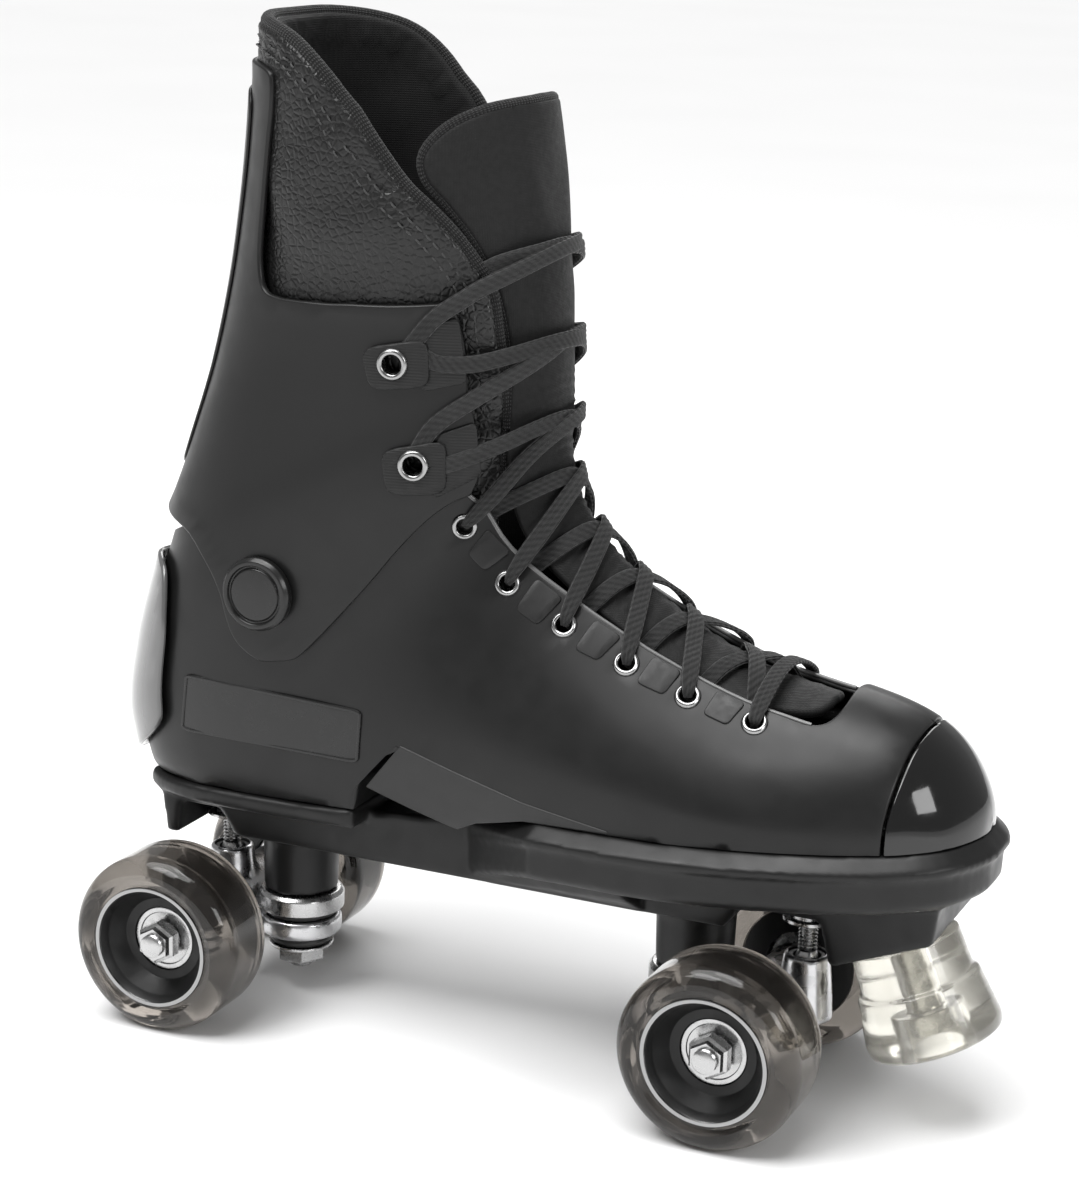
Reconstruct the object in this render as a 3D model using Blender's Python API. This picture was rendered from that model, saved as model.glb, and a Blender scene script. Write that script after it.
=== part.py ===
"""Quad roller skate: a hinged-cuff hard boot on a moulded plate with two steering trucks and four wheels.

Lengths are in millimetres here and are turned into metres when an object is made. +X is the toe, +Y the
skate's left, +Z up. The origin is on the floor under the centre of the whole skate.
"""

import math

import bmesh
import bpy
import numpy as np
from mathutils import Matrix, Vector
from mathutils.geometry import delaunay_2d_cdt

MM = 0.001
GAP = 0.3  # the space kept between touching pieces
ORIGIN_X = 21.8  # the bounding box's middle, measured from the middle of the wheelbase

# wheels and axles
WHEELBASE = 200.8
WHEEL_RADIUS = 31.0
WHEEL_INNER_FACE = 30.5  # distance of the tyre's inner face from the centre line
WHEEL_WIDTH = 29.7
HUB_LIP_RADIUS = 21.0
AXLE_RADIUS = 4.0
AXLE_TIP = 59.6
BEARING_RADIUS = 11.0
BEARING_WIDTH = 7.0
BEARING_FACES = (33.6, 42.9)  # inner face of the inboard and the outboard bearing

# trucks: kingpin and pivot, measured from the axle; a positive value is towards the skate's middle
KINGPIN_INBOARD = 26.0
PIVOT_OUTBOARD = {"front": 13.0, "rear": 2.0}
PIVOT_HEIGHT = 47.0
RING_TOP, RING_BOTTOM = 29.0, 22.0
KINGPIN_RADIUS = 4.5
BOSS_BOTTOM = 38.8

# plate
SPINE_BOTTOM = 62.0
SPINE_HALF_WIDTH = 24.0
TRAY_REAR = (-4.0, 81.8)
TOE_STOP_TILT = math.radians(22)
TOE_STOP_TOP = Vector((145.5, 0, 60.6))
TOE_STOP_LENGTH = 36.0

# boot
SHELL_WALL = 2.8
CUFF_OUTSIDE = 3.4
CUFF_WALL = 2.3
LINER_WALL = 5.0
COLLAR_WALL = 8.0
ANKLE_AXIS = (-66.3, 157.0)
RIVET_INNER_FACE = 45.6
LACE_RADIUS = 1.4

# Boot sections from toe to shaft: ridge x, z | sole or back x, z | half-width | where it is widest |
# roundness of the front and of the back half (2 is an ellipse, more is squarer).
SECTIONS = np.array([
    (171.5, 105.0, 171.5, 105.0, 0.0, 0.62, 2.0, 2.6),
    (170.5, 111.0, 170.7, 96.0, 8.0, 0.62, 2.0, 2.6),
    (167.0, 118.0, 167.5, 89.0, 17.0, 0.62, 2.0, 2.8),
    (161.5, 125.5, 162.5, 85.0, 24.5, 0.62, 2.0, 3.0),
    (154.0, 132.0, 154.5, 83.0, 30.5, 0.62, 2.0, 3.2),
    (143.0, 137.5, 143.0, 81.5, 36.0, 0.63, 1.9, 3.4),
    (128.0, 141.5, 127.0, 80.0, 41.0, 0.64, 1.8, 3.5),
    (111.0, 144.5, 109.0, 80.0, 44.5, 0.65, 1.7, 3.5),
    (92.0, 149.0, 90.0, 80.0, 46.3, 0.66, 1.65, 3.5),
    (72.0, 158.0, 62.0, 79.0, 46.3, 0.66, 1.65, 3.5),
    (55.0, 169.0, 28.0, 77.0, 44.0, 0.66, 1.7, 3.4),
    (42.0, 180.0, -15.0, 73.0, 40.5, 0.64, 1.8, 3.2),
    (33.0, 192.0, -68.0, 66.0, 38.0, 0.62, 1.9, 3.0),
    (28.5, 203.0, -116.0, 67.0, 37.5, 0.60, 2.1, 2.7),
    (26.0, 213.0, -131.5, 94.0, 39.5, 0.60, 2.2, 2.5),
    (25.0, 222.0, -130.0, 121.0, 41.5, 0.58, 2.3, 2.4),
    (24.5, 232.0, -123.5, 149.0, 41.5, 0.56, 2.3, 2.3),
    (24.0, 242.0, -116.5, 172.0, 40.5, 0.55, 2.3, 2.3),
    (23.5, 252.0, -108.5, 196.0, 40.0, 0.54, 2.3, 2.3),
    (22.5, 263.0, -99.0, 225.0, 40.0, 0.53, 2.3, 2.3),
    (21.0, 277.0, -92.0, 254.0, 41.0, 0.52, 2.3, 2.3),
    (18.5, 293.0, -87.5, 280.0, 42.0, 0.52, 2.3, 2.3),
    (15.5, 309.0, -84.5, 303.0, 43.0, 0.52, 2.3, 2.3),
    (12.0, 325.0, -82.5, 325.0, 44.0, 0.52, 2.3, 2.3),
    (9.0, 345.0, -81.0, 347.0, 44.5, 0.52, 2.3, 2.3),
])
LAST = len(SECTIONS) - 1
# undersides of the shell and the liner, and the liner's floor, in side view: x, z from heel to toe
SHELL_SOLE = [(-130, 81), (-60, 82.5), (-36, 84), (-33, 94), (-19, 110), (34, 94), (77, 95.5), (115, 98),
              (150, 100), (172, 102)]
LINER_SOLE = [(-130, 86.5), (-60, 89), (-36, 115), (-8, 115), (38, 99), (77, 100), (115, 102.5), (172, 106.5)]
FLAT = [(-200, -200), (200, -200)]
LINER_FLOOR = [(-130, 117), (-8, 118.5), (38, 103), (115, 106), (172, 108)]

# Outlines on the boot are points (section, degrees round from the ridge). They run up the right side.
TOE_LINE = [(4.25, 0), (4.33, 18), (4.45, 35), (4.55, 54), (4.65, 71), (4.7, 90), (4.7, 180)]
THROAT = [(6.15, 0), (6.17, 20), (6.3, 31), (6.6, 35.5), (7.25, 34.5), (8.5, 33.5), (10.4, 36), (12.4, 39.5),
          (13.4, 41), (14.1, 45)]
SHELL_TOP = [(15.0, 60), (15.9, 80), (16.5, 110), (16.65, 140), (16.7, 180)]
CUFF_LOWER = [(17.15, 180), (17.0, 156), (16.5, 129), (15.75, 112), (15.2, 103), (14.7, 98.5), (14.1, 94),
              (13.55, 89), (13.35, 86), (13.45, 77.5), (13.65, 68.5), (13.9, 61.5), (14.2, 54), (14.08, 43.5)]
CUFF_UPPER = [(14.5, 41.5), (15.9, 44.5), (17.1, 48.5), (18.0, 50.5), (18.8, 54.5), (19.2, 57), (19.25, 67),
              (19.4, 79), (19.6, 95), (19.76, 112), (20.1, 122), (20.7, 125), (21.9, 123.5), (22.7, 119),
              (23.0, 125), (23.1, 140), (23.1, 180)]
LINER_THROAT = [(6.0, 0), (6.05, 25), (6.4, 42), (7.2, 50), (9.0, 51), (11.0, 53), (12.6, 56)]
LINER_TOP = [(13.6, 60), (14.6, 80), (15.4, 110), (15.8, 140), (16.0, 180)]
COLLAR_LOWER = [(17.9, 180), (17.75, 140), (17.6, 105), (17.35, 75), (16.7, 52), (15.4, 34)]
COLLAR_UPPER = [(17.0, 36.5), (18.4, 40.5), (19.3, 44), (20.2, 54.5), (20.8, 64.5), (21.3, 74), (22.0, 83),
                (22.7, 90), (23.3, 100), (23.75, 115), (23.9, 140), (23.95, 180)]
BUMPER = [(16.25, 180), (16.25, 156), (16.0, 140), (15.6, 131), (15.0, 125.5), (14.5, 123.5), (14.0, 124.5),
          (13.75, 130), (13.7, 150), (13.7, 180)]
TONGUE_LOWER = [(6.5, 0), (6.6, 18), (7.4, 23), (10.0, 24), (12.2, 24), (12.3, 0)]
TONGUE_UPPER = [(14.9, 0), (14.95, 24), (17.0, 29), (18.8, 34), (20.0, 44), (21.0, 58), (22.2, 66),
                (23.0, 45),
                (23.2, 20), (23.2, 0)]
EYELETS = [(13.44, 47), (11.93, 45.5), (10.75, 44.5), (9.61, 43), (8.61, 42), (7.53, 41.5)]
EYELET_HOLE = 2.8
TAB_EYELETS = {"upper": (18.28, 71.5), "lower": (15.64, 60)}
TAB_SIZE = (21.0, 14.5, 2.2)
ARCH_INSERT = [(-24, 93.5), (-14, 103.5), (27, 95.2), (11, 89.5), (4, 85)]


# ---------------------------------------------------------------- boot surface

def blend_sections(column, s):
    """A section value at s by a cubic through the sections."""
    values = SECTIONS[:, column]
    slope = np.gradient(values)
    i = np.minimum(s.astype(int), LAST - 1)
    f = s - i
    return ((2 * f**3 - 3 * f**2 + 1) * values[i] + (f**3 - 2 * f**2 + f) * slope[i]
            + (3 * f**2 - 2 * f**3) * values[i + 1] + (f**3 - f**2) * slope[i + 1])


def section_point(s, v):
    """Points of the boot's outside at section s and angle v (radians), before the sole is cut flat."""
    s = np.clip(s, 0, LAST)
    fx, fz, bx, bz, width, widest, front, back = (blend_sections(k, s) for k in range(8))
    cos, sin = np.cos(v), np.sin(v)
    ahead = cos > 0
    squareness = 2 / np.where(ahead, front, back)
    reach = np.abs(cos) ** squareness
    along = np.where(ahead, widest * (1 - reach), widest + (1 - widest) * reach)
    side = width * np.sign(sin) * np.abs(sin) ** squareness
    return np.stack([fx + (bx - fx) * along, -side, fz + (bz - fz) * along], -1)


def boot_surface(s, degrees, offset=0.0, sole=SHELL_SOLE):
    """Points offset outwards from the boot's outside, and no lower than its sole."""
    s, v = np.broadcast_arrays(np.asarray(s, float), np.radians(degrees))
    step = 0.01
    along = section_point(s + step, v) - section_point(s - step, v)
    around = section_point(s, v + step) - section_point(s, v - step)
    normal = np.cross(along, around)
    length = np.linalg.norm(normal, axis=-1, keepdims=True)
    normal = np.where(length > 1e-9, normal / np.maximum(length, 1e-9), (1.0, 0.0, 0.0))
    points = section_point(s, v) + normal * np.asarray(offset, float)[..., None]
    x_sole, z_sole = zip(*sole)
    points[..., 2] = np.maximum(points[..., 2], np.interp(points[..., 0], x_sole, z_sole))
    return points


SIDE = section_point(np.linspace(0, LAST, 400), np.full(400, math.pi / 2))
SIDE_LENGTH = np.concatenate([[0], np.cumsum(np.linalg.norm(np.diff(SIDE, axis=0), axis=1))])
GIRTH = 42.0  # mean half-width, which turns degrees round the boot into millimetres


def to_flat(s, degrees):
    """Boot coordinates to a flat map in millimetres."""
    return np.interp(s, np.linspace(0, LAST, 400), SIDE_LENGTH), np.radians(degrees) * GIRTH


def from_flat(a, b):
    return np.interp(a, SIDE_LENGTH, np.linspace(0, LAST, 400)), np.degrees(b / GIRTH)


def half_width(x, z):
    """The boot's half-width at a side-view point."""
    low, high = 0.0, float(LAST)
    for _ in range(40):
        s = (low + high) / 2
        fx, fz, bx, bz = (float(blend_sections(k, np.array([s]))[0]) for k in range(4))
        if (bx - fx) * (z - fz) - (bz - fz) * (x - fx) > 0:
            high = s
        else:
            low = s
    width, widest, front, back = (float(blend_sections(k, np.array([s]))[0]) for k in range(4, 8))
    share = ((x - fx) * (bx - fx) + (z - fz) * (bz - fz)) / ((bx - fx) ** 2 + (bz - fz) ** 2)
    share = min(max(share, 0.0), 1.0)
    if share < widest:
        return width * (1 - ((widest - share) / widest) ** front) ** (1 / front)
    return width * (1 - ((share - widest) / (1 - widest)) ** back) ** (1 / back)


# ---------------------------------------------------------------- making objects

def material(name, colour, roughness, metallic=0.0, alpha=1.0):
    made = bpy.data.materials.new(name)
    made.use_nodes = True
    shader = made.node_tree.nodes["Principled BSDF"]
    shader.inputs["Base Color"].default_value = (*colour, 1)
    shader.inputs["Roughness"].default_value = roughness
    shader.inputs["Metallic"].default_value = metallic
    shader.inputs["Alpha"].default_value = alpha
    return made


def add_object(name, mesh, colour=None, parent=None):
    """Links a mesh that is in metres in the world frame, with the object's origin at its parent's."""
    made = bpy.data.objects.new(name, mesh)
    bpy.context.collection.objects.link(made)
    if parent is not None:
        mesh.transform(Matrix.Translation(-parent.location))
        made.parent = parent
    if colour is not None:
        mesh.materials.append(colour)
    return made


def mesh_of(name, points, faces):
    """A mesh with points given in millimetres from the middle of the wheelbase."""
    mesh = bpy.data.meshes.new(name)
    mesh.from_pydata([((x - ORIGIN_X) * MM, y * MM, z * MM) for x, y, z in points], [], faces)
    mesh.update()
    return mesh


def tidy(mesh, smooth_degrees=35):
    """Welds a closed mesh, turns its faces out and shades it."""
    work = bmesh.new()
    work.from_mesh(mesh)
    bmesh.ops.remove_doubles(work, verts=work.verts, dist=1e-6)
    bmesh.ops.recalc_face_normals(work, faces=work.faces)
    work.to_mesh(mesh)
    work.free()
    mesh.shade_smooth()
    mesh.set_sharp_from_angle(angle=math.radians(smooth_degrees))
    return mesh


def helper(made):
    """Marks an object as a tool for a Boolean, not a piece."""
    made.hide_render = True
    made.display_type = "WIRE"
    return made


def boolean(target, operation, tool):
    change = target.modifiers.new(operation.lower(), "BOOLEAN")
    change.operation = operation
    change.solver = "EXACT"
    change.object = helper(tool)


def empty_at(name, x, y, z):
    made = bpy.data.objects.new(name, None)
    made.location = ((x - ORIGIN_X) * MM, y * MM, z * MM)
    bpy.context.collection.objects.link(made)
    return made


def turned(name, profile, centre, axis, sides=24, closed_ring=False):
    """A solid of revolution. profile is (along, radius) points; with closed_ring the profile is a loop."""
    axis = Vector(axis).normalized()
    across = Vector((0, 0, -1)) if abs(axis.z) < 0.5 else Vector((1, 0, 0))
    across = (across - axis * across.dot(axis)).normalized()
    other = axis.cross(across)
    points, faces = [], []
    for along, radius in profile:
        for k in range(sides):
            turn = 2 * math.pi * k / sides
            points.append(Vector(centre) + axis * along
                          + (across * math.cos(turn) + other * math.sin(turn)) * radius)
    rows = len(profile)
    for r in range(rows if closed_ring else rows - 1):
        for k in range(sides):
            a, b = r * sides + k, r * sides + (k + 1) % sides
            c, d = ((r + 1) % rows) * sides + (k + 1) % sides, ((r + 1) % rows) * sides + k
            faces.append((a, b, c, d))
    if not closed_ring:
        faces.append(tuple(range(sides))[::-1])
        faces.append(tuple((rows - 1) * sides + k for k in range(sides)))
    return tidy(mesh_of(name, points, faces))


def hull(name, points):
    """The convex block round some corner points."""
    work = bmesh.new()
    for x, y, z in points:
        work.verts.new(((x - ORIGIN_X) * MM, y * MM, z * MM))
    made = bmesh.ops.convex_hull(work, input=work.verts)
    spare = {v for v in made["geom_interior"] + made["geom_unused"] if isinstance(v, bmesh.types.BMVert)}
    bmesh.ops.delete(work, geom=list(spare), context="VERTS")
    mesh = bpy.data.meshes.new(name)
    work.to_mesh(mesh)
    work.free()
    return tidy(mesh)


def both_sides(points):
    return [(x, side * y, z) for x, y, z in points for side in (-1, 1)]


def fill_outline(loops, spacing, extra=()):
    """Triangles inside flat loops, the outline and then its holes, that also use the extra points."""
    points, edges = [], []
    for loop in loops:
        start = len(points)
        count = len(loop)
        for k in range(count):
            a, b = Vector(loop[k]), Vector(loop[(k + 1) % count])
            pieces = max(1, math.ceil((b - a).length / spacing))
            points += [a.lerp(b, n / pieces) for n in range(pieces)]
        edges += [(k, k + 1) for k in range(start, len(points) - 1)] + [(len(points) - 1, start)]
    rim = np.array([tuple(p) for p in points])
    points += [p for p in extra if inside(*p, rim, edges) and np.hypot(*(rim - p).T).min() > 2]
    taken = np.array([tuple(p) for p in points])
    xs = np.arange(rim[:, 0].min(), rim[:, 0].max(), spacing)
    ys = np.arange(rim[:, 1].min(), rim[:, 1].max(), spacing)
    for row, y in enumerate(ys):
        for x in xs + spacing / 2 * (row % 2):
            if np.hypot(taken[:, 0] - x, taken[:, 1] - y).min() > 0.6 * spacing and inside(x, y, rim, edges):
                points.append(Vector((x, y)))
    flat, _, faces, *_ = delaunay_2d_cdt(points, edges, [], 1, 1e-6)
    flat = np.array([tuple(p) for p in flat])
    return flat, [face for face in faces if inside(*flat[face].mean(0), rim, edges)]


def inside(x, y, rim, edges):
    """Whether a point is inside the loops, by counting crossings."""
    a, b = rim[[e[0] for e in edges]], rim[[e[1] for e in edges]]
    spans = (a[:, 1] > y) != (b[:, 1] > y)
    rise = np.where(spans, b[:, 1] - a[:, 1], 1)
    crossing = a[:, 0] + (y - a[:, 1]) * (b[:, 0] - a[:, 0]) / rise
    return bool((spans & (crossing > x)).sum() % 2)


def mirrored(outline, centre=0.0):
    """An outline up one side and back down the other, which meets itself at the given angle."""
    loop = outline + [(s, 2 * centre - v) for s, v in reversed(outline)]
    return [point for k, point in enumerate(loop) if point != loop[k - 1]]


def raised(sole, height):
    return [(x, z + height) for x, z in sole]


def boot_patch(name, outline, offset, wall, spacing, holes=(), sole=SHELL_SOLE, floor=None):
    """A walled piece of the boot's surface inside an outline, with round holes at (s, degrees, radius)."""
    loops = [[Vector(p) for p in zip(*to_flat(*np.array(outline, float).T))]]
    for s, degrees, radius in holes:
        a, b = to_flat(s, degrees)
        stretch = local_stretch(s, degrees)
        loops.append([Vector((a + radius / stretch[0] * math.cos(t), b + radius / stretch[1] * math.sin(t)))
                      for t in np.linspace(0, 2 * math.pi, 9)[:-1]])
    flat, faces = fill_outline(loops, spacing, sole_creases(offset, sole))
    s, degrees = from_flat(flat[:, 0], flat[:, 1])
    layers = [boot_surface(s, degrees, np.full(len(s), offset - wall), floor or raised(sole, wall)),
              boot_surface(s, degrees, np.full(len(s), offset), sole)]
    return two_layers(name, layers, faces)


def sole_creases(offset, sole):
    """Flat-map points along the lines across the arch where the sole changes slope."""
    found = []
    for x_crease, z_crease in sole[1:5]:
        for degrees in range(108, 253, 12):
            low, high = 8.0, 14.0
            for _ in range(30):
                s = (low + high) / 2
                point = boot_surface(np.array([s]), np.array([degrees]), np.array([offset]), FLAT)[0]
                low, high = (s, high) if point[0] > x_crease else (low, s)
            if point[2] < z_crease:
                found.append(Vector(to_flat(s, degrees)))
    return found


def two_layers(name, layers, faces):
    """Closes an inner and an outer layer of the same triangles into a solid, joined where they wrap."""
    count = len(layers[0])
    seen = {}
    same = [seen.setdefault(tuple(np.round(point + 0.0037, 2)), k) for k, point in enumerate(layers[1])]
    faces = [[same[k] for k in face] for face in faces]
    faces = [face for face in faces if len(set(face)) == len(face)]
    work = bmesh.new()
    work.from_mesh(mesh_of(name, np.concatenate(layers), []))
    verts = list(work.verts)
    for face in faces:
        work.faces.new([verts[k] for k in reversed(face)])
        work.faces.new([verts[k + count] for k in face])
    work.verts.index_update()
    for edge in [e for e in work.edges if e.is_boundary]:
        i, j = (vert.index for vert in edge.verts)
        if i < count and j < count:
            work.faces.new([verts[i], verts[j], verts[j + count], verts[i + count]])
    bmesh.ops.delete(work, geom=[vert for vert in verts if not vert.link_faces], context="VERTS")
    mesh = bpy.data.meshes.new(name)
    work.to_mesh(mesh)
    work.free()
    return tidy(mesh)


def local_stretch(s, degrees):
    """How many real millimetres one flat millimetre is, along and round the boot."""
    a, b = to_flat(s, degrees)
    here = boot_surface(*from_flat(a, b))
    return [float(np.linalg.norm(boot_surface(*from_flat(a + da, b + db)) - here))
            for da, db in ((1, 0), (0, 1))]


def side_block(name, outline, width):
    """A block with a side-view outline; width is its half-width, a number or a function of x and z."""
    flat, faces = fill_outline([[Vector(p) for p in outline]], 12.0)
    reach = [width(x, z) if callable(width) else width for x, z in flat]
    layers = [np.array([(x, side * w, z) for (x, z), w in zip(flat, reach)]) for side in (-1, 1)]
    return two_layers(name, layers, faces)


def tube(name, path, radius, colour, parent=None):
    """A lace: a round tube along a smooth line through the path's points."""
    path = [Vector(p) for p in path]
    dense = []
    for k in range(len(path) - 1):
        before, a, b, after = path[max(k - 1, 0)], path[k], path[k + 1], path[min(k + 2, len(path) - 1)]
        pieces = max(1, round((b - a).length / (8 * radius)))
        for n in range(pieces):
            f = n / pieces
            dense.append(0.5 * (2 * a + (b - before) * f + (2 * before - 5 * a + 4 * b - after) * f**2
                                + (3 * a - before - 3 * b + after) * f**3))
    dense.append(path[-1])
    sides, points, faces = 6, [], []
    across = (dense[1] - dense[0]).orthogonal()
    for k, at in enumerate(dense):
        along = (dense[min(k + 1, len(dense) - 1)] - dense[max(k - 1, 0)]).normalized()
        across = (across - along * across.dot(along)).normalized()
        other = along.cross(across)
        points += [at + (across * math.cos(t) + other * math.sin(t)) * radius
                   for t in (2 * math.pi * n / sides for n in range(sides))]
        if k:
            a, b = (k - 1) * sides, k * sides
            faces += [(a + n, a + (n + 1) % sides, b + (n + 1) % sides, b + n) for n in range(sides)]
    faces += [tuple(range(sides)), tuple(len(points) - 1 - n for n in range(sides))]
    add_object(name, tidy(mesh_of(name, points, faces), 80), colour, parent)


# ---------------------------------------------------------------- boot

def boot_point(s, degrees, offset):
    return Vector(boot_surface(np.array([s]), np.array([degrees]), np.array([offset]))[0])


def build_shell(colours):
    holes = [(s, v, EYELET_HOLE) for s, v in EYELETS]
    holes += [(s, 360 - v, EYELET_HOLE) for s, v in EYELETS]
    seam = [(s + 0.06, v) for s, v in TOE_LINE]
    outline = mirrored(seam[:1] + THROAT + SHELL_TOP, 180)
    outline += [(s, 360 - v) for s, v in seam[1:-1]] + seam[:0:-1]
    mesh = boot_patch("lower_shell", outline, 0, SHELL_WALL, 13.0, holes)
    shell = add_object("lower_shell", mesh, colours["shell"])
    for side in (-1, 1):
        boolean(shell, "DIFFERENCE", add_object(
            "rivet_hole", turned("rivet_hole", [(0, 5.6), (40, 5.6)],
                                 (ANKLE_AXIS[0], side * 25, ANKLE_AXIS[1]), (0, side, 0), 16)))
    cap = mirrored([(0, 0)] + TOE_LINE, 180)
    add_object("toe_cap", boot_patch("toe_cap", cap, 0, SHELL_WALL, 10.0), colours["gloss"])
    mesh = boot_patch("heel_bumper", mirrored(BUMPER, 180), 3.6, 2.1, 12.0)
    add_object("heel_bumper", mesh, colours["bumper"])
    add_object("arch_insert", side_block("arch_insert", ARCH_INSERT, half_width), colours["insert"])


def build_liner(colours, cuff_axis):
    foot = mirrored([(0, 0)] + LINER_THROAT + LINER_TOP, 180)
    mesh = boot_patch("liner_foot", foot, -4.3, LINER_WALL, 15.0, sole=LINER_SOLE,
                      floor=LINER_FLOOR)
    add_object("liner_foot", mesh, colours["liner"])
    mesh = boot_patch("liner_collar", mirrored(COLLAR_LOWER + COLLAR_UPPER, 180), -0.4, COLLAR_WALL, 13.0)
    add_object("liner_collar", mesh, colours["liner"], cuff_axis)
    mesh = boot_patch("tongue_lower", mirrored(TONGUE_LOWER), -5.2, 4.0, 11.0)
    add_object("tongue_lower", mesh, colours["tongue"])
    mesh = boot_patch("tongue_upper", mirrored(TONGUE_UPPER), -3.0, 5.0, 12.0)
    add_object("tongue_upper", mesh, colours["tongue"], cuff_axis)


def build_cuff(colours, cuff_axis):
    holes = [(s, v, 3.2) for s, v in TAB_EYELETS.values()]
    holes += [(s, 360 - v, 3.2) for s, v in TAB_EYELETS.values()]
    outline = mirrored(CUFF_LOWER + CUFF_UPPER, 180)
    mesh = boot_patch("cuff", outline, CUFF_OUTSIDE, CUFF_WALL, 12.0, holes)
    cuff = add_object("cuff", mesh, colours["shell"], cuff_axis)
    for side in (-1, 1):
        boolean(cuff, "DIFFERENCE", add_object(
            "pivot_hole", turned("pivot_hole", [(0, 5.6), (40, 5.6)],
                                 (ANKLE_AXIS[0], side * 25, ANKLE_AXIS[1]), (0, side, 0), 16)))
        rivet = [(0.8, 0.01), (0.8, 5.2), (8.9, 5.2), (8.9, 12.4), (11.2, 12.4), (12.4, 11.2),
                 (12.4, 0.01)]
        name = "ankle_rivet_right" if side < 0 else "ankle_rivet_left"
        profile = [(along + RIVET_INNER_FACE - 8.9, radius) for along, radius in rivet]
        add_object(name, turned(name, profile, (ANKLE_AXIS[0], 0, ANKLE_AXIS[1]), (0, side, 0), 20),
                   colours["rivet"])
    for level, (s, v) in TAB_EYELETS.items():
        for side in ("right", "left"):
            name = f"lace_tab_{side}_{level}"
            add_object(name, tab_mesh(name, s, v if side == "right" else -v), colours["tab"], cuff_axis)


def tab_mesh(name, s, degrees):
    """A curved strap end lying on the cuff, with a round eyelet hole."""
    length, height, wall = TAB_SIZE
    a, b = to_flat(s, degrees)
    along, around = local_stretch(s, degrees)
    towards_front = -1 if degrees > 0 else 1
    corners = [(-height / 2, -6), (height / 2, -6), (height / 2, length - 6), (-height / 2, length - 6)]
    loop = [Vector((a + p / along, b + towards_front * q / around)) for p, q in corners]
    hole = [Vector((a + 3 / along * math.cos(t), b + 3 / around * math.sin(t)))
            for t in np.linspace(0, 2 * math.pi, 9)[:-1]]
    flat, faces = fill_outline([loop, hole], 7.0)
    s_all, v_all = from_flat(flat[:, 0], flat[:, 1])
    layers = [boot_surface(s_all, v_all, np.full(len(flat), CUFF_OUTSIDE + lift))
              for lift in (0.6, 0.6 + wall)]
    return two_layers(name, layers, faces)


# ---------------------------------------------------------------- laces

UNDER, OVER = -5.7, 2.9  # lace height inside and outside the shell's wall


def crossing(start, end, lift, from_inside):
    """A run from one eyelet over the throat to the next one on the other side, where it dips under."""
    (s0, v0), (s1, v1) = start, end
    first = UNDER if from_inside else OVER
    edge = 0.30
    share = [0.0, edge, 0.5, 1 - edge, 0.93]
    height = [first, -1.4 if from_inside else OVER, lift, -2.0, UNDER]
    return [boot_point(s0 + (s1 - s0) * f, v0 + (v1 - v0) * f, h) for f, h in zip(share, height)]


def build_laces(colours, cuff_axis):
    right, left = EYELETS, [(s, -v) for s, v in EYELETS]
    strands = []
    for near, far, lift in ((right, left, 2.6), (left, right, -1.2)):
        path, sides = [], (near, far)
        for k in range(5, 0, -1):
            start, end = sides[(5 - k) % 2][k], sides[(4 - k) % 2][k - 1]
            path += crossing(start, end, lift, k == 5)
            path.append(boot_point(end[0], end[1], UNDER))
            path.append(boot_point(end[0], end[1], OVER))
        strands.append(path)
    (s, v) = EYELETS[5]
    bar = [boot_point(s, v * f, OVER + 0.6 * (1 - f * f)) for f in (-1, -0.75, -0.4, 0, 0.4, 0.75, 1)]
    strand_right, strand_left = strands
    tube("lace_lower", strand_left[::-1] + bar + strand_right, LACE_RADIUS, colours["lace"])
    outside = CUFF_OUTSIDE + 2.2
    low, high = (16.55, 50), (17.45, 56)
    top = (19.4, 51)
    rising = [(low, 1, outside), ((16.6, 44), 1, outside), ((16.75, 36), 1, 4.0), ((16.9, 0), 1, 2.6),
              ((17.1, 38), -1, 4.0), ((17.3, 46), -1, outside), (high, -1, outside)]
    around_tab = [((18.6, 47), -1, outside + 1.4), (top, -1, outside)]
    bar = [((19.6, 42), -1, 4.6), ((19.8, 0), 1, 2.0), ((19.6, 42), 1, 4.6)]
    falling = [(p, -side, h if p != (16.9, 0) else -1.0) for p, side, h in reversed(rising + around_tab)]
    path = [boot_point(p[0], side * p[1], h) for p, side, h in rising + around_tab + bar + falling]
    tube("lace_upper", path, LACE_RADIUS, colours["lace"], cuff_axis)


# ---------------------------------------------------------------- plate and toe stop

def sole_ring(offset, drop, toe_x=171.0, heel=False):
    """A level-by-level ring round the sole outline, offset outwards and lowered from the sole line."""
    x_sole, z_sole = zip(*SHELL_SOLE)
    if heel:
        xs = -36 - (121.5 - 36) * np.sin(np.linspace(0, math.pi / 2, 9))
    else:
        xs = 34 + (toe_x - 34) * np.sin(np.linspace(0, math.pi / 2, 13))
    side = [(x, half_width(x, np.interp(x, x_sole, z_sole))) for x in xs]
    side[-1] = (side[-1][0], 0.0)
    if not heel:
        side.insert(0, (TRAY_REAR[0], 20.0))
    ring = []
    for k, (x, y) in enumerate(side):
        before, after = side[max(k - 1, 0)], side[min(k + 1, len(side) - 1)]
        along = Vector((after[0] - before[0], after[1] - before[1])).normalized()
        if k == len(side) - 1:
            along = Vector((0, -1))
        outward = Vector((-along.y, along.x)) if not heel else Vector((along.y, -along.x))
        reach = 0.0 if k == 0 else offset
        place = (x + outward.x * reach, max(y + outward.y * reach, 0.0))
        height = np.interp(x, x_sole, z_sole) if heel or x >= 34 else TRAY_REAR[1]
        ring.append((*place, float(height) - drop))
    return [(x, -y, z) for x, y, z in ring] + [(x, y, z) for x, y, z in reversed(ring[:-1])]


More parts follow.
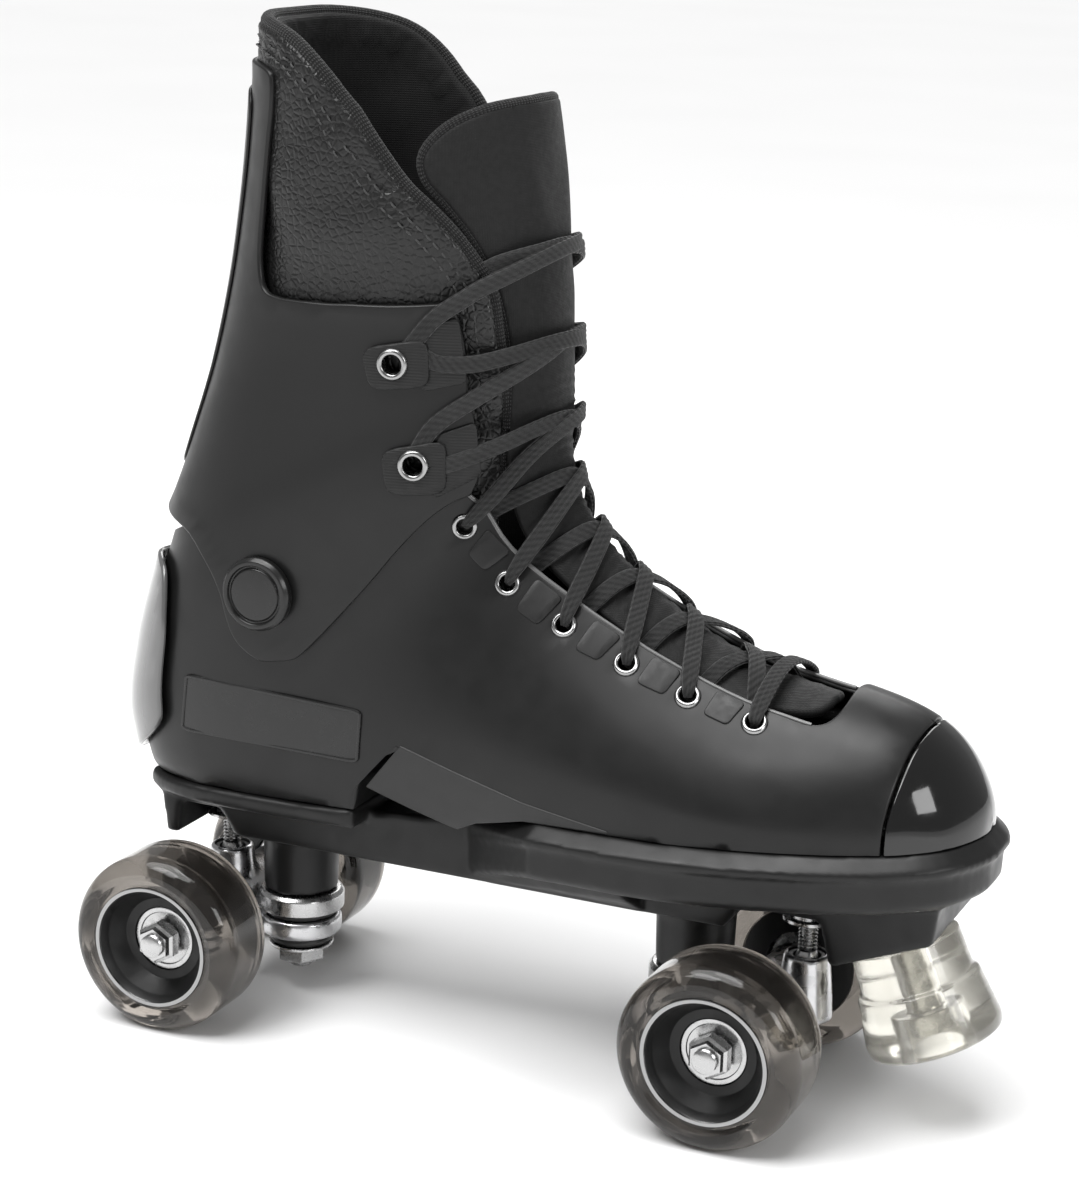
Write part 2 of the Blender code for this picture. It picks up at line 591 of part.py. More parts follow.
def loft(name, rings):
    """A closed solid through rings of equal length."""
    count = len(rings[0])
    points = [p for ring in rings for p in ring]
    faces = []
    for r in range(len(rings) - 1):
        for k in range(count):
            n = (k + 1) % count
            faces.append((r * count + k, r * count + n, (r + 1) * count + n, (r + 1) * count + k))
    for base in (0, (len(rings) - 1) * count):
        faces += [(base + k, base + k + 1, base + count - 2 - k, base + count - 1 - k)
                  for k in range((count - 1) // 2)]
    return tidy(mesh_of(name, points, faces))


def build_plate(colours, trucks):
    spine = [(-118, 78), (-115, 59), (-110.5, 59), (-109.5, 71), (-94, 71), (-88, SPINE_BOTTOM),
             (92, SPINE_BOTTOM), (98, 70), (124, 70), (128, 55), (161, 68.3), (163, 84), (34, 86),
             (4, 83), (-30, 80.5), (-60, 79)]
    plate = add_object("baseplate", side_block("baseplate", spine, SPINE_HALF_WIDTH), colours["plate"])
    tray = loft("tray", [sole_ring(0, GAP), sole_ring(5.2, 4.8), sole_ring(5.2, 6.2), sole_ring(4.0, 17),
                         sole_ring(0.5, 19.5)])
    heel = loft("heel", [sole_ring(0, GAP, heel=True), sole_ring(2.6, 1.8, heel=True),
                         sole_ring(2.6, 5.5, heel=True), sole_ring(-2.5, 7.5, heel=True)])
    flank = hull("flank", both_sides([(0, 22, 62.4), (64, 23, 62.4), (2, 22, 83), (30, 40, 84),
                                      (64, 46, 82), (30, 30, 70), (64, 40, 72)]))
    for tool in (tray, heel, flank):
        boolean(plate, "UNION", add_object(tool.name, tool))
    for end, truck in trucks.items():
        boss = turned("boss", [(BOSS_BOTTOM, 13.0), (56, 13.4), (64, 15.5), (73, 17.0)],
                      (truck["kingpin"], 0, 0), (0, 0, 1), 20)
        boolean(plate, "UNION", add_object("boss", boss))
        bore = turned("bore", [(BOSS_BOTTOM - 5, KINGPIN_RADIUS + GAP), (61, KINGPIN_RADIUS + GAP)],
                      (truck["kingpin"], 0, 0), (0, 0, 1), 12)
        boolean(plate, "DIFFERENCE", add_object("bore", bore))
        stud_hole = turned("stud_hole", [(60, 3.4), (77, 3.4)], (truck["pivot"], 0, 0), (0, 0, 1), 12)
        boolean(plate, "DIFFERENCE", add_object("stud_hole", stud_hole))
    down = Vector((math.sin(TOE_STOP_TILT), 0, -math.cos(TOE_STOP_TILT)))
    hole = turned("stop_hole", [(-16, 4.4), (5, 4.4)], TOE_STOP_TOP, down, 12)
    boolean(plate, "DIFFERENCE", add_object("stop_hole", hole))
    stop = [(GAP, 18.0), (14, 18.6), (15.5, 20.2), (TOE_STOP_LENGTH - 4, 22.6), (TOE_STOP_LENGTH - 1, 22.0),
            (TOE_STOP_LENGTH, 20.0), (TOE_STOP_LENGTH, 8.5), (TOE_STOP_LENGTH - 12, 8.5),
            (TOE_STOP_LENGTH - 12, 4.4), (GAP, 4.4)]
    add_object("toe_stop", turned("toe_stop", stop, TOE_STOP_TOP, down, 28, closed_ring=True),
               colours["clear"])
    bolt = [(-15, 0.01), (-15, 4.0), (TOE_STOP_LENGTH - 11.7, 4.0), (TOE_STOP_LENGTH - 11.7, 7.6),
            (TOE_STOP_LENGTH - 5, 7.6), (TOE_STOP_LENGTH - 5, 0.01)]
    add_object("toe_stop_bolt", turned("toe_stop_bolt", bolt, TOE_STOP_TOP, down, 12), colours["steel"])


# ---------------------------------------------------------------- trucks and wheels

def place_truck(end):
    outward = 1 if end == "front" else -1
    axle = outward * WHEELBASE / 2
    return {"end": end, "out": outward, "axle": axle, "kingpin": axle - outward * KINGPIN_INBOARD,
            "pivot": axle + outward * PIVOT_OUTBOARD[end]}


def build_truck(truck, colours):
    end, axle, kingpin, pivot = truck["end"], truck["axle"], truck["kingpin"], truck["pivot"]
    out = truck["out"]
    steer = empty_at(f"{end}_steer_axis", kingpin, 0, (RING_TOP + RING_BOTTOM) / 2)
    tube_solid = turned(f"{end}_hanger", [(-29.2, 8.6), (-26, 9.4), (26, 9.4), (29.2, 8.6)],
                        (axle, 0, WHEEL_RADIUS), (0, 1, 0), 20)
    hanger = add_object(f"{end}_hanger", tube_solid, colours["zinc"], steer)
    rim = [(RING_BOTTOM, 13.6), (RING_BOTTOM + 1, 14.4), (RING_TOP - 1, 14.4), (RING_TOP, 13.6)]
    ring = turned("ring", rim, (kingpin, 0, 0), (0, 0, 1), 20)
    yoke = hull("yoke", both_sides([(kingpin + out * 12, 8, RING_BOTTOM + 0.6), (kingpin + out * 12, 8, 28.3),
                                    (axle, 19, RING_BOTTOM + 1.5), (axle - out * 4, 17, 35),
                                    (axle + out * 3, 19, 30)]))
    nose = turned("nose", [(27, 9.5), (40, 8.6), (PIVOT_HEIGHT + 2.5, 7.6)], (pivot, 0, 0), (0, 0, 1), 16)
    brace = hull("brace", both_sides([(pivot, 5, 28), (pivot, 5, 42), (axle - out * 7, 8, 31),
                                      (axle - out * 3, 7, 39)]))
    for tool in (ring, yoke, nose, brace):
        boolean(hanger, "UNION", add_object(tool.name, tool))
    cuts = [turned("ring_hole", [(RING_BOTTOM - 4, 7.2), (RING_TOP + 9, 7.2)],
                   (kingpin, 0, 0), (0, 0, 1), 14),
            turned("axle_hole", [(-40, AXLE_RADIUS + GAP), (40, AXLE_RADIUS + GAP)],
                   (axle, 0, WHEEL_RADIUS), (0, 1, 0), 14),
            turned("socket", [(PIVOT_HEIGHT - 6.2, 6.4), (PIVOT_HEIGHT + 12, 6.4)],
                   (pivot, 0, 0), (0, 0, 1), 16)]
    for tool in cuts:
        boolean(hanger, "DIFFERENCE", add_object(tool.name, tool))
    rod = [(-AXLE_TIP, 0.01), (-AXLE_TIP, 3.4), (-AXLE_TIP + 0.8, AXLE_RADIUS), (AXLE_TIP - 0.8, AXLE_RADIUS),
           (AXLE_TIP, 3.4), (AXLE_TIP, 0.01)]
    name = f"{end}_axle"
    add_object(name, turned(name, rod, (axle, 0, WHEEL_RADIUS), (0, 1, 0), 14), colours["steel"], steer)

    name = f"{end}_pivot_cup"
    cup = [(PIVOT_HEIGHT - 5.9, 6.1), (PIVOT_HEIGHT + 1.5, 6.1), (PIVOT_HEIGHT + 1.5, 4.6),
           (PIVOT_HEIGHT - 4.7, 4.6), (PIVOT_HEIGHT - 4.7, 2.0), (PIVOT_HEIGHT - 5.9, 2.0)]
    add_object(name, turned(name, cup, (pivot, 0, 0), (0, 0, 1), 14, closed_ring=True), colours["rubber"],
               steer)
    name = f"{end}_pivot_pin"
    tip = [(PIVOT_HEIGHT + 4.1 * math.sin(a), 4.1 * math.cos(a)) for a in np.radians([-89, -60, -30, 0, 25])]
    pin = tip + [(PIVOT_HEIGHT + 3.2, 3.0), (61, 3.0), (61, 6.4), (62.2, 6.4), (62.2, 5.2), (67, 5.2),
                 (67, 3.0), (75, 3.0), (75, 0.01)]
    add_object(name, turned(name, pin, (pivot, 0, 0), (0, 0, 1), 12), colours["steel"])

    rest_z = RING_TOP + GAP
    solids = {
        "kingpin": ([(9, 0.01), (9, KINGPIN_RADIUS), (60, KINGPIN_RADIUS), (60, 0.01)], "steel", 12),
        "kingpin_nut": ([(11.5, 0.01), (11.5, 8.0), (12.2, 8.6), (16.8, 8.6), (16.8, 0.01)], "steel", 6),
        "retainer_lower": ([(17.1, KINGPIN_RADIUS + GAP), (17.1, 11.5), (18.3, 11.5),
                            (18.3, KINGPIN_RADIUS + GAP)], "steel", 20),
        "cushion_lower": ([(18.6, KINGPIN_RADIUS + GAP), (18.6, 10.5), (20.1, 11.4), (21.7, 10.5),
                           (21.7, KINGPIN_RADIUS + GAP)], "rubber", 20),
        "cushion_upper": ([(rest_z, KINGPIN_RADIUS + GAP), (rest_z, 12.6), (31.0, 13.4), (34.4, 13.4),
                           (36.9, 12.4), (36.9, KINGPIN_RADIUS + GAP)], "rubber", 20),
        "retainer_upper": ([(37.2, KINGPIN_RADIUS + GAP), (37.2, 13.7), (31.6, 13.7), (31.6, 15.2),
                            (37.5, 15.2), (BOSS_BOTTOM - GAP, 14.2),
                            (BOSS_BOTTOM - GAP, KINGPIN_RADIUS + GAP)],
                           "zinc", 20),
    }
    for part, (profile, colour, sides) in solids.items():
        name = f"{end}_{part}"
        solid = part in ("kingpin", "kingpin_nut")
        mesh = turned(name, profile, (kingpin, 0, 0), (0, 0, 1), sides, closed_ring=not solid)
        made = add_object(name, mesh, colours[colour])
        if part == "kingpin_nut":
            bore = turned("nut_bore", [(5, KINGPIN_RADIUS + GAP), (20, KINGPIN_RADIUS + GAP)],
                          (kingpin, 0, 0), (0, 0, 1), 12)
            boolean(made, "DIFFERENCE", add_object("nut_bore", bore))
    for side in (-1, 1):
        build_wheel(end, side, axle, colours, steer)


def build_wheel(end, side, axle, colours, steer):
    """Profiles run outwards along the axle from the skate's centre line."""
    hand = "right" if side < 0 else "left"
    middle = side * (WHEEL_INNER_FACE + WHEEL_WIDTH / 2)
    spin = empty_at(f"{end}_{hand}_wheel_axis", axle, middle, WHEEL_RADIUS)
    inner, outer, full = WHEEL_INNER_FACE, WHEEL_INNER_FACE + WHEEL_WIDTH, WHEEL_RADIUS
    bore = BEARING_RADIUS + GAP
    tyre = [(inner, 20.0), (inner, full - 5.0), (inner + 1.6, full - 1.6), (inner + 5, full),
            (outer - 5, full), (outer - 1.6, full - 1.6), (outer, full - 5.0),
            (outer - 0.4, HUB_LIP_RADIUS + GAP), (outer - 14, HUB_LIP_RADIUS + GAP), (outer - 16, 20.0)]
    seat = BEARING_FACES[1] - GAP
    hub = [(inner + 0.6, 12.4), (inner + 0.6, 19.7), (outer - 15.4, 19.7), (outer - 13.6, HUB_LIP_RADIUS),
           (outer - 1.0, HUB_LIP_RADIUS), (outer - 1.0, HUB_LIP_RADIUS - 1.2),
           (BEARING_FACES[1] + BEARING_WIDTH + 0.4, 13.2), (BEARING_FACES[1] + BEARING_WIDTH + 0.4, bore),
           (seat, bore), (seat, 8.0), (BEARING_FACES[0] + BEARING_WIDTH + GAP, 8.0),
           (BEARING_FACES[0] + BEARING_WIDTH + GAP, bore), (inner + 0.6, bore)]
    ball_race = [(0, AXLE_RADIUS + GAP), (0, BEARING_RADIUS), (BEARING_WIDTH, BEARING_RADIUS),
                 (BEARING_WIDTH, AXLE_RADIUS + GAP)]
    centre, axis = (axle, 0, WHEEL_RADIUS), (0, side, 0)
    pieces = {"tyre": (tyre, "tyre", 28), "hub": (hub, "hub", 20),
              "bearing_inboard": ([(a + BEARING_FACES[0], r) for a, r in ball_race], "steel", 16),
              "bearing_outboard": ([(a + BEARING_FACES[1], r) for a, r in ball_race], "steel", 16)}
    for part, (profile, colour, sides) in pieces.items():
        name = f"{end}_{hand}_{part}"
        add_object(name, turned(name, profile, centre, axis, sides, closed_ring=True), colours[colour], spin)
    start = BEARING_FACES[1] + BEARING_WIDTH + 0.5
    nut = [(start, 0.01), (start, 6.6), (start + 0.8, 7.4), (start + 4.6, 7.4), (start + 5.2, 6.2),
           (start + 7, 6.0), (start + 7, 0.01)]
    name = f"{end}_{hand}_axle_nut"
    made = add_object(name, turned(name, nut, centre, axis, 6), colours["steel"], steer)
    bore = turned("nut_bore", [(start - 4, AXLE_RADIUS + GAP), (start + 12, AXLE_RADIUS + GAP)],
                  centre, axis, 14)
    boolean(made, "DIFFERENCE", add_object("nut_bore", bore))


def build_colours():
    return {
        "shell": material("shell_black", (0.025, 0.025, 0.026), 0.42),
        "plate": material("plate_black", (0.022, 0.022, 0.023), 0.45),
        "gloss": material("gloss_black", (0.012, 0.012, 0.012), 0.06),
        "bumper": material("bumper_grey", (0.22, 0.22, 0.23), 0.15),
        "insert": material("insert_grey", (0.07, 0.068, 0.072), 0.5),
        "rivet": material("rivet_black", (0.02, 0.02, 0.02), 0.2),
        "tab": material("tab_black", (0.03, 0.03, 0.03), 0.5),
        "liner": material("liner_leather", (0.03, 0.03, 0.03), 0.5),
        "tongue": material("tongue_fabric", (0.02, 0.02, 0.02), 0.85),
        "lace": material("lace_black", (0.03, 0.03, 0.028), 0.9),
        "steel": material("steel", (0.6, 0.6, 0.6), 0.25, 1.0),
        "zinc": material("truck_zinc", (0.65, 0.65, 0.66), 0.2, 1.0),
        "rubber": material("cushion_rubber", (0.02, 0.02, 0.02), 0.7),
        "tyre": material("tyre_smoke", (0.09, 0.08, 0.07), 0.15, 0.0, 0.6),
        "hub": material("hub_black", (0.015, 0.015, 0.015), 0.25),
        "clear": material("stop_clear", (0.8, 0.78, 0.68), 0.1, 0.0, 0.5),
    }


def main():
    for old in list(bpy.data.objects):
        bpy.data.objects.remove(old)
    colours = build_colours()
    trucks = {end: place_truck(end) for end in ("front", "rear")}
    cuff_axis = empty_at("cuff_axis", ANKLE_AXIS[0], 0, ANKLE_AXIS[1])
    build_shell(colours)
    build_liner(colours, cuff_axis)
    build_cuff(colours, cuff_axis)
    build_laces(colours, cuff_axis)
    build_plate(colours, trucks)
    for truck in trucks.values():
        build_truck(truck, colours)


main()
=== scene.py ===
"""Looks for the quad roller skate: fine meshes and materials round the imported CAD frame.

Lengths are in millimetres with X measured from the middle of the wheelbase, as in the CAD; mesh_of()
turns them into metres in the row frame. The boot's pieces all lie on one surface, which is addressed by
(section, degrees round from the ridge); positive degrees are the right-hand side.
"""
import math

import bmesh
import bpy
import numpy as np
from mathutils import Matrix, Vector
from mathutils.geometry import delaunay_2d_cdt


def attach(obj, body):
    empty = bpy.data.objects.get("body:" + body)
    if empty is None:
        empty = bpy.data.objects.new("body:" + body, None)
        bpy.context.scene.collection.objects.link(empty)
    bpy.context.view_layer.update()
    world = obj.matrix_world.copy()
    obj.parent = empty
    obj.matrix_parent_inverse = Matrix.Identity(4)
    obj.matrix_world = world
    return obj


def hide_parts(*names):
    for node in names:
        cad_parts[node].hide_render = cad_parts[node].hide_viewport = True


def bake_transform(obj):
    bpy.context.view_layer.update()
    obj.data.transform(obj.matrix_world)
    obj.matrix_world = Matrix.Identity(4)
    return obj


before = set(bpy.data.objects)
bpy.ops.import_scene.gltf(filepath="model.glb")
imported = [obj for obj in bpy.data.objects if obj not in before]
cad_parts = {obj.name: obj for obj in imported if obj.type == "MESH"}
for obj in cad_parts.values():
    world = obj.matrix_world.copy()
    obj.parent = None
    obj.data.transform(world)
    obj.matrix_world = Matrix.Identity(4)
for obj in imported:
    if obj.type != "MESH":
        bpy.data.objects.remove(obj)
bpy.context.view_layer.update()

MM = 0.001
ORIGIN_X = 21.8

SECTIONS = np.array([
    (171.5, 105.0, 171.5, 105.0, 0.0, 0.62, 2.0, 2.6),
    (170.5, 111.0, 170.7, 96.0, 8.0, 0.62, 2.0, 2.6),
    (167.0, 118.0, 167.5, 89.0, 17.0, 0.62, 2.0, 2.8),
    (161.5, 125.5, 162.5, 85.0, 24.5, 0.62, 2.0, 3.0),
    (154.0, 132.0, 154.5, 83.0, 30.5, 0.62, 2.0, 3.2),
    (143.0, 137.5, 143.0, 81.5, 36.0, 0.63, 1.9, 3.4),
    (128.0, 141.5, 127.0, 80.0, 41.0, 0.64, 1.8, 3.5),
    (111.0, 144.5, 109.0, 80.0, 44.5, 0.65, 1.7, 3.5),
    (92.0, 149.0, 90.0, 80.0, 46.3, 0.66, 1.65, 3.5),
    (72.0, 158.0, 62.0, 79.0, 46.3, 0.66, 1.65, 3.5),
    (55.0, 169.0, 28.0, 77.0, 44.0, 0.66, 1.7, 3.4),
    (42.0, 180.0, -15.0, 73.0, 40.5, 0.64, 1.8, 3.2),
    (33.0, 192.0, -68.0, 66.0, 38.0, 0.62, 1.9, 3.0),
    (28.5, 203.0, -116.0, 67.0, 37.5, 0.60, 2.1, 2.7),
    (26.0, 213.0, -131.5, 94.0, 39.5, 0.60, 2.2, 2.5),
    (25.0, 222.0, -130.0, 121.0, 41.5, 0.58, 2.3, 2.4),
    (24.5, 232.0, -123.5, 149.0, 41.5, 0.56, 2.3, 2.3),
    (24.0, 242.0, -116.5, 172.0, 40.5, 0.55, 2.3, 2.3),
    (23.5, 252.0, -108.5, 196.0, 40.0, 0.54, 2.3, 2.3),
    (22.5, 263.0, -99.0, 225.0, 40.0, 0.53, 2.3, 2.3),
    (21.0, 277.0, -92.0, 254.0, 41.0, 0.52, 2.3, 2.3),
    (18.5, 293.0, -87.5, 280.0, 42.0, 0.52, 2.3, 2.3),
    (15.5, 309.0, -84.5, 303.0, 43.0, 0.52, 2.3, 2.3),
    (12.0, 325.0, -82.5, 325.0, 44.0, 0.52, 2.3, 2.3),
    (9.0, 345.0, -81.0, 347.0, 44.5, 0.52, 2.3, 2.3),
])
LAST = len(SECTIONS) - 1
SHELL_SOLE = [(-130, 81), (-60, 82.5), (-36, 84), (-33, 94), (-19, 110), (34, 94), (77, 95.5), (115, 98),
              (150, 100), (172, 102)]
LINER_SOLE = [(-130, 86.5), (-60, 89), (-36, 115), (-8, 115), (38, 99), (77, 100), (115, 102.5), (172, 106.5)]
LINER_FLOOR = [(-130, 117), (-8, 118.5), (38, 103), (115, 106), (172, 108)]

TOE_LINE = [(4.25, 0), (4.33, 18), (4.45, 35), (4.55, 54), (4.65, 71), (4.7, 90), (4.7, 180)]
THROAT = [(6.15, 0), (6.17, 20), (6.3, 31), (6.6, 35.5), (7.25, 34.5), (8.5, 33.5), (10.4, 36), (12.4, 39.5),
          (13.4, 41), (14.1, 45)]
SHELL_TOP = [(15.0, 60), (15.9, 80), (16.5, 110), (16.65, 140), (16.7, 180)]
CUFF_BACK = [(17.15, 180), (17.0, 156), (16.5, 129), (15.75, 112), (15.2, 103), (14.7, 98.5), (14.1, 94),
             (13.6, 90)]
CUFF_EAR = [(13.42, 87), (13.36, 84.5), (13.45, 77.5), (13.65, 68.5), (13.9, 61.5), (14.15, 54),
            (14.2, 48)]
CUFF_FRONT = [(14.08, 44.0), (14.6, 42.0), (15.9, 44.5), (17.1, 48.5), (18.0, 50.5), (18.8, 54.0)]
CUFF_TOP = [(19.15, 57.0), (19.22, 62), (19.3, 70), (19.4, 79), (19.6, 95), (19.74, 110)]
CUFF_SPINE = [(19.84, 117), (20.05, 121.5), (20.45, 124.3), (21.2, 124.5), (21.9, 123.5), (22.5, 121.5),
              (22.85, 121.5), (23.02, 124.5), (23.1, 140), (23.1, 180)]
LINER_EDGE = [(6.0, 0), (6.05, 25), (6.4, 42), (7.2, 50), (9.0, 51), (11.0, 50), (12.4, 44), (13.4, 36.5),
              (14.6, 33), (16.0, 34), (17.0, 36.5), (18.4, 40.5), (19.3, 44), (20.2, 54.5), (20.8, 64.5),
              (21.3, 74), (22.0, 83), (22.6, 90), (23.1, 99), (23.45, 112), (23.62, 130), (23.7, 155),
              (23.7, 180)]
BUMPER = [(16.3, 180), (16.3, 156), (16.05, 141), (15.7, 132.5), (15.1, 125.5), (14.5, 123), (14.0, 124.5),
          (13.75, 129), (13.7, 150), (13.7, 180)]
TONGUE = [(6.45, 0), (6.6, 20), (7.4, 29), (9.0, 31), (12.0, 35), (14.5, 32), (17.0, 33), (18.8, 38),
          (20.0, 47), (20.8, 58), (21.3, 66), (21.75, 66), (22.2, 55), (22.5, 38), (22.62, 20), (22.66, 0)]
EYELETS = [(13.44, 47), (11.93, 45.5), (10.75, 44.5), (9.61, 43), (8.61, 42), (7.53, 41.5)]
PADS = [[(13.08, 42), (12.32, 39.9), (12.40, 47.5), (12.92, 48.5)],
        [(11.61, 39.3), (11.01, 38.7), (11.09, 49.0), (11.53, 49)],
        [(10.37, 37.1), (9.85, 36.5), (10.01, 47.3), (10.41, 48.3)],
        [(9.29, 35.5), (8.81, 35), (8.93, 45.8), (9.37, 46.6)],
        [(8.25, 34.8), (7.77, 35.2), (7.93, 46), (8.33, 45.5)]]
SIDE_PANEL = [(14.12, 113), (12.2, 86.5), (11.85, 96.5), (13.56, 120)]
TABS = {"upper": {"eyelet": (18.28, 71.5), "block": [(18.76, 81.5), (18.60, 62.5), (17.44, 59.5),
                                                     (17.88, 76)],
                  "flap": [(18.90, 65), (18.86, 54.0), (17.16, 48.5), (17.40, 62)]},
        "lower": {"eyelet": (15.64, 60), "block": [(16.32, 69.5), (15.88, 52), (14.60, 50.5), (15.28, 65.5)],
                  "flap": [(16.10, 55), (15.98, 44.2), (14.55, 41.3), (14.62, 54)]}}
ARCH_INSERT = [(-30, 93.8), (-17, 110.5), (3, 105.5), (29, 100), (60, 96.2), (60, 95.2), (29, 93.2),
               (11, 88.4),
               (3, 84)]
ANKLE_AXIS = (-66.3, 157.0)
CUFF_OUTSIDE = 3.4
CUFF_WALL = 2.3
SHELL_WALL = 2.8
SHELL_HOLE = 2.6
TAB_HOLE = 3.1
TAB_LIFT = 2.8  # the tab's face above the cuff
FLOOR_HALF = 20.0

WHEELBASE = 200.8
WHEEL_RADIUS = 31.0
WHEEL_INNER_FACE = 30.5
WHEEL_WIDTH = 29.7
AXLE_TIP = 59.6
BEARING_FACES = (33.6, 42.9)
BEARING_WIDTH = 7.0
KINGPIN_INBOARD = 26.0
PIVOT_OUTBOARD = {"front": 13.0, "rear": 2.0}
PIVOT_HEIGHT = 47.0
SPINE_BOTTOM = 62.0
TRAY_REAR = (-4.0, 81.8)
TOE_STOP_TILT = math.radians(22)
TOE_STOP_TOP = Vector((145.5, 0, 60.6))

CAMERA = {"target": (14.14, 0.0, 154.89), "azimuth": 23.64, "elevation": 15.24, "roll": 1.70,
          "distance": 939.48, "lens": 85.23}


# ---------------------------------------------------------------- boot surface

def blend_sections(column, s):
    values = SECTIONS[:, column]
    slope = np.gradient(values)
    i = np.minimum(s.astype(int), LAST - 1)
    f = s - i
    return ((2 * f**3 - 3 * f**2 + 1) * values[i] + (f**3 - 2 * f**2 + f) * slope[i]
            + (3 * f**2 - 2 * f**3) * values[i + 1] + (f**3 - f**2) * slope[i + 1])


def section_point(s, v):
    s = np.clip(s, 0, LAST)
    fx, fz, bx, bz, width, widest, front, back = (blend_sections(k, s) for k in range(8))
    cos, sin = np.cos(v), np.sin(v)
    ahead = cos > 0
    squareness = 2 / np.where(ahead, front, back)
    reach = np.abs(cos) ** squareness
    along = np.where(ahead, widest * (1 - reach), widest + (1 - widest) * reach)
    side = width * np.sign(sin) * np.abs(sin) ** squareness
    return np.stack([fx + (bx - fx) * along, -side, fz + (bz - fz) * along], -1)


def surface_normal(s, v):
    step = 0.01
    along = section_point(s + step, v) - section_point(s - step, v)
    around = section_point(s, v + step) - section_point(s, v - step)
    normal = np.cross(along, around)
    length = np.linalg.norm(normal, axis=-1, keepdims=True)
    return np.where(length > 1e-9, normal / np.maximum(length, 1e-9), (1.0, 0.0, 0.0))


def boot_surface(s, degrees, offset=0.0, sole=SHELL_SOLE):
    """Points offset outwards from the boot's outside, and no lower than its sole."""
    s, v = np.broadcast_arrays(np.asarray(s, float), np.radians(degrees))
    points = section_point(s, v) + surface_normal(s, v) * np.asarray(offset, float)[..., None]
    x_sole, z_sole = zip(*sole)
    points[..., 2] = np.maximum(points[..., 2], np.interp(points[..., 0], x_sole, z_sole))
    return points


def boot_point(s, degrees, offset):
    return Vector(boot_surface(np.array([s]), np.array([degrees]), np.array([offset]))[0])


def boot_normal(s, degrees):
    return Vector(surface_normal(np.array([float(s)]), np.radians(np.array([float(degrees)])))[0])


SIDE = section_point(np.linspace(0, LAST, 400), np.full(400, math.pi / 2))
SIDE_LENGTH = np.concatenate([[0], np.cumsum(np.linalg.norm(np.diff(SIDE, axis=0), axis=1))])
GIRTH = 42.0


def to_flat(s, degrees):
    return np.interp(s, np.linspace(0, LAST, 400), SIDE_LENGTH), np.radians(degrees) * GIRTH


def from_flat(a, b):
    return np.interp(a, SIDE_LENGTH, np.linspace(0, LAST, 400)), np.degrees(b / GIRTH)


def half_width(x, z):
    """The boot's half-width at a side-view point."""
    low, high = 0.0, float(LAST)
    for _ in range(40):
        s = (low + high) / 2
        fx, fz, bx, bz = (float(blend_sections(k, np.array([s]))[0]) for k in range(4))
        if (bx - fx) * (z - fz) - (bz - fz) * (x - fx) > 0:
            high = s
        else:
            low = s
    width, widest, front, back = (float(blend_sections(k, np.array([s]))[0]) for k in range(4, 8))
    share = ((x - fx) * (bx - fx) + (z - fz) * (bz - fz)) / ((bx - fx) ** 2 + (bz - fz) ** 2)
    share = min(max(share, 0.0), 1.0)
    if share < widest:
        return width * (1 - ((widest - share) / widest) ** front) ** (1 / front)
    return width * (1 - ((share - widest) / (1 - widest)) ** back) ** (1 / back)


# ---------------------------------------------------------------- outlines

def curved(points, steps=4):
    """A smooth line through the points."""
    p = np.array(points, float)
    padded = np.vstack([2 * p[0] - p[1], p, 2 * p[-1] - p[-2]])
    line = []
    for k in range(len(p) - 1):
        a, b, c, d = padded[k:k + 4]
        for f in np.arange(steps) / steps:
            line.append(0.5 * (2 * b + (c - a) * f + (2 * a - 5 * b + 4 * c - d) * f**2
                               + (3 * b - a - 3 * c + d) * f**3))
    line.append(p[-1])
    return [tuple(q) for q in line]


def mirrored(outline, centre=0.0):
    loop = outline + [(s, 2 * centre - v) for s, v in reversed(outline)]
    return [point for k, point in enumerate(loop) if np.abs(np.subtract(point, loop[k - 1])).max() > 1e-9]


def rounded(corners, share=0.18, steps=4):
    """A closed outline with its corners cut round."""
    count = len(corners)
    line = []
    for k in range(count):
        before, here, after = (np.array(corners[j % count], float) for j in (k - 1, k, k + 1))
        start, end = here + (before - here) * share, here + (after - here) * share
        for f in np.linspace(0, 1, steps):
            line.append(tuple((1 - f) ** 2 * start + 2 * f * (1 - f) * here + f**2 * end))
    return line


def inside(points, rim, edges):
    """Which points are inside the loops, by counting crossings."""
    a, b = rim[edges[:, 0]], rim[edges[:, 1]]
    spans = (a[:, 1] > points[:, 1:]) != (b[:, 1] > points[:, 1:])
    rise = np.where(b[:, 1] != a[:, 1], b[:, 1] - a[:, 1], 1)
    crossing = a[:, 0] + (points[:, 1:] - a[:, 1]) * (b[:, 0] - a[:, 0]) / rise
    return (spans & (crossing > points[:, :1])).sum(1) % 2 == 1


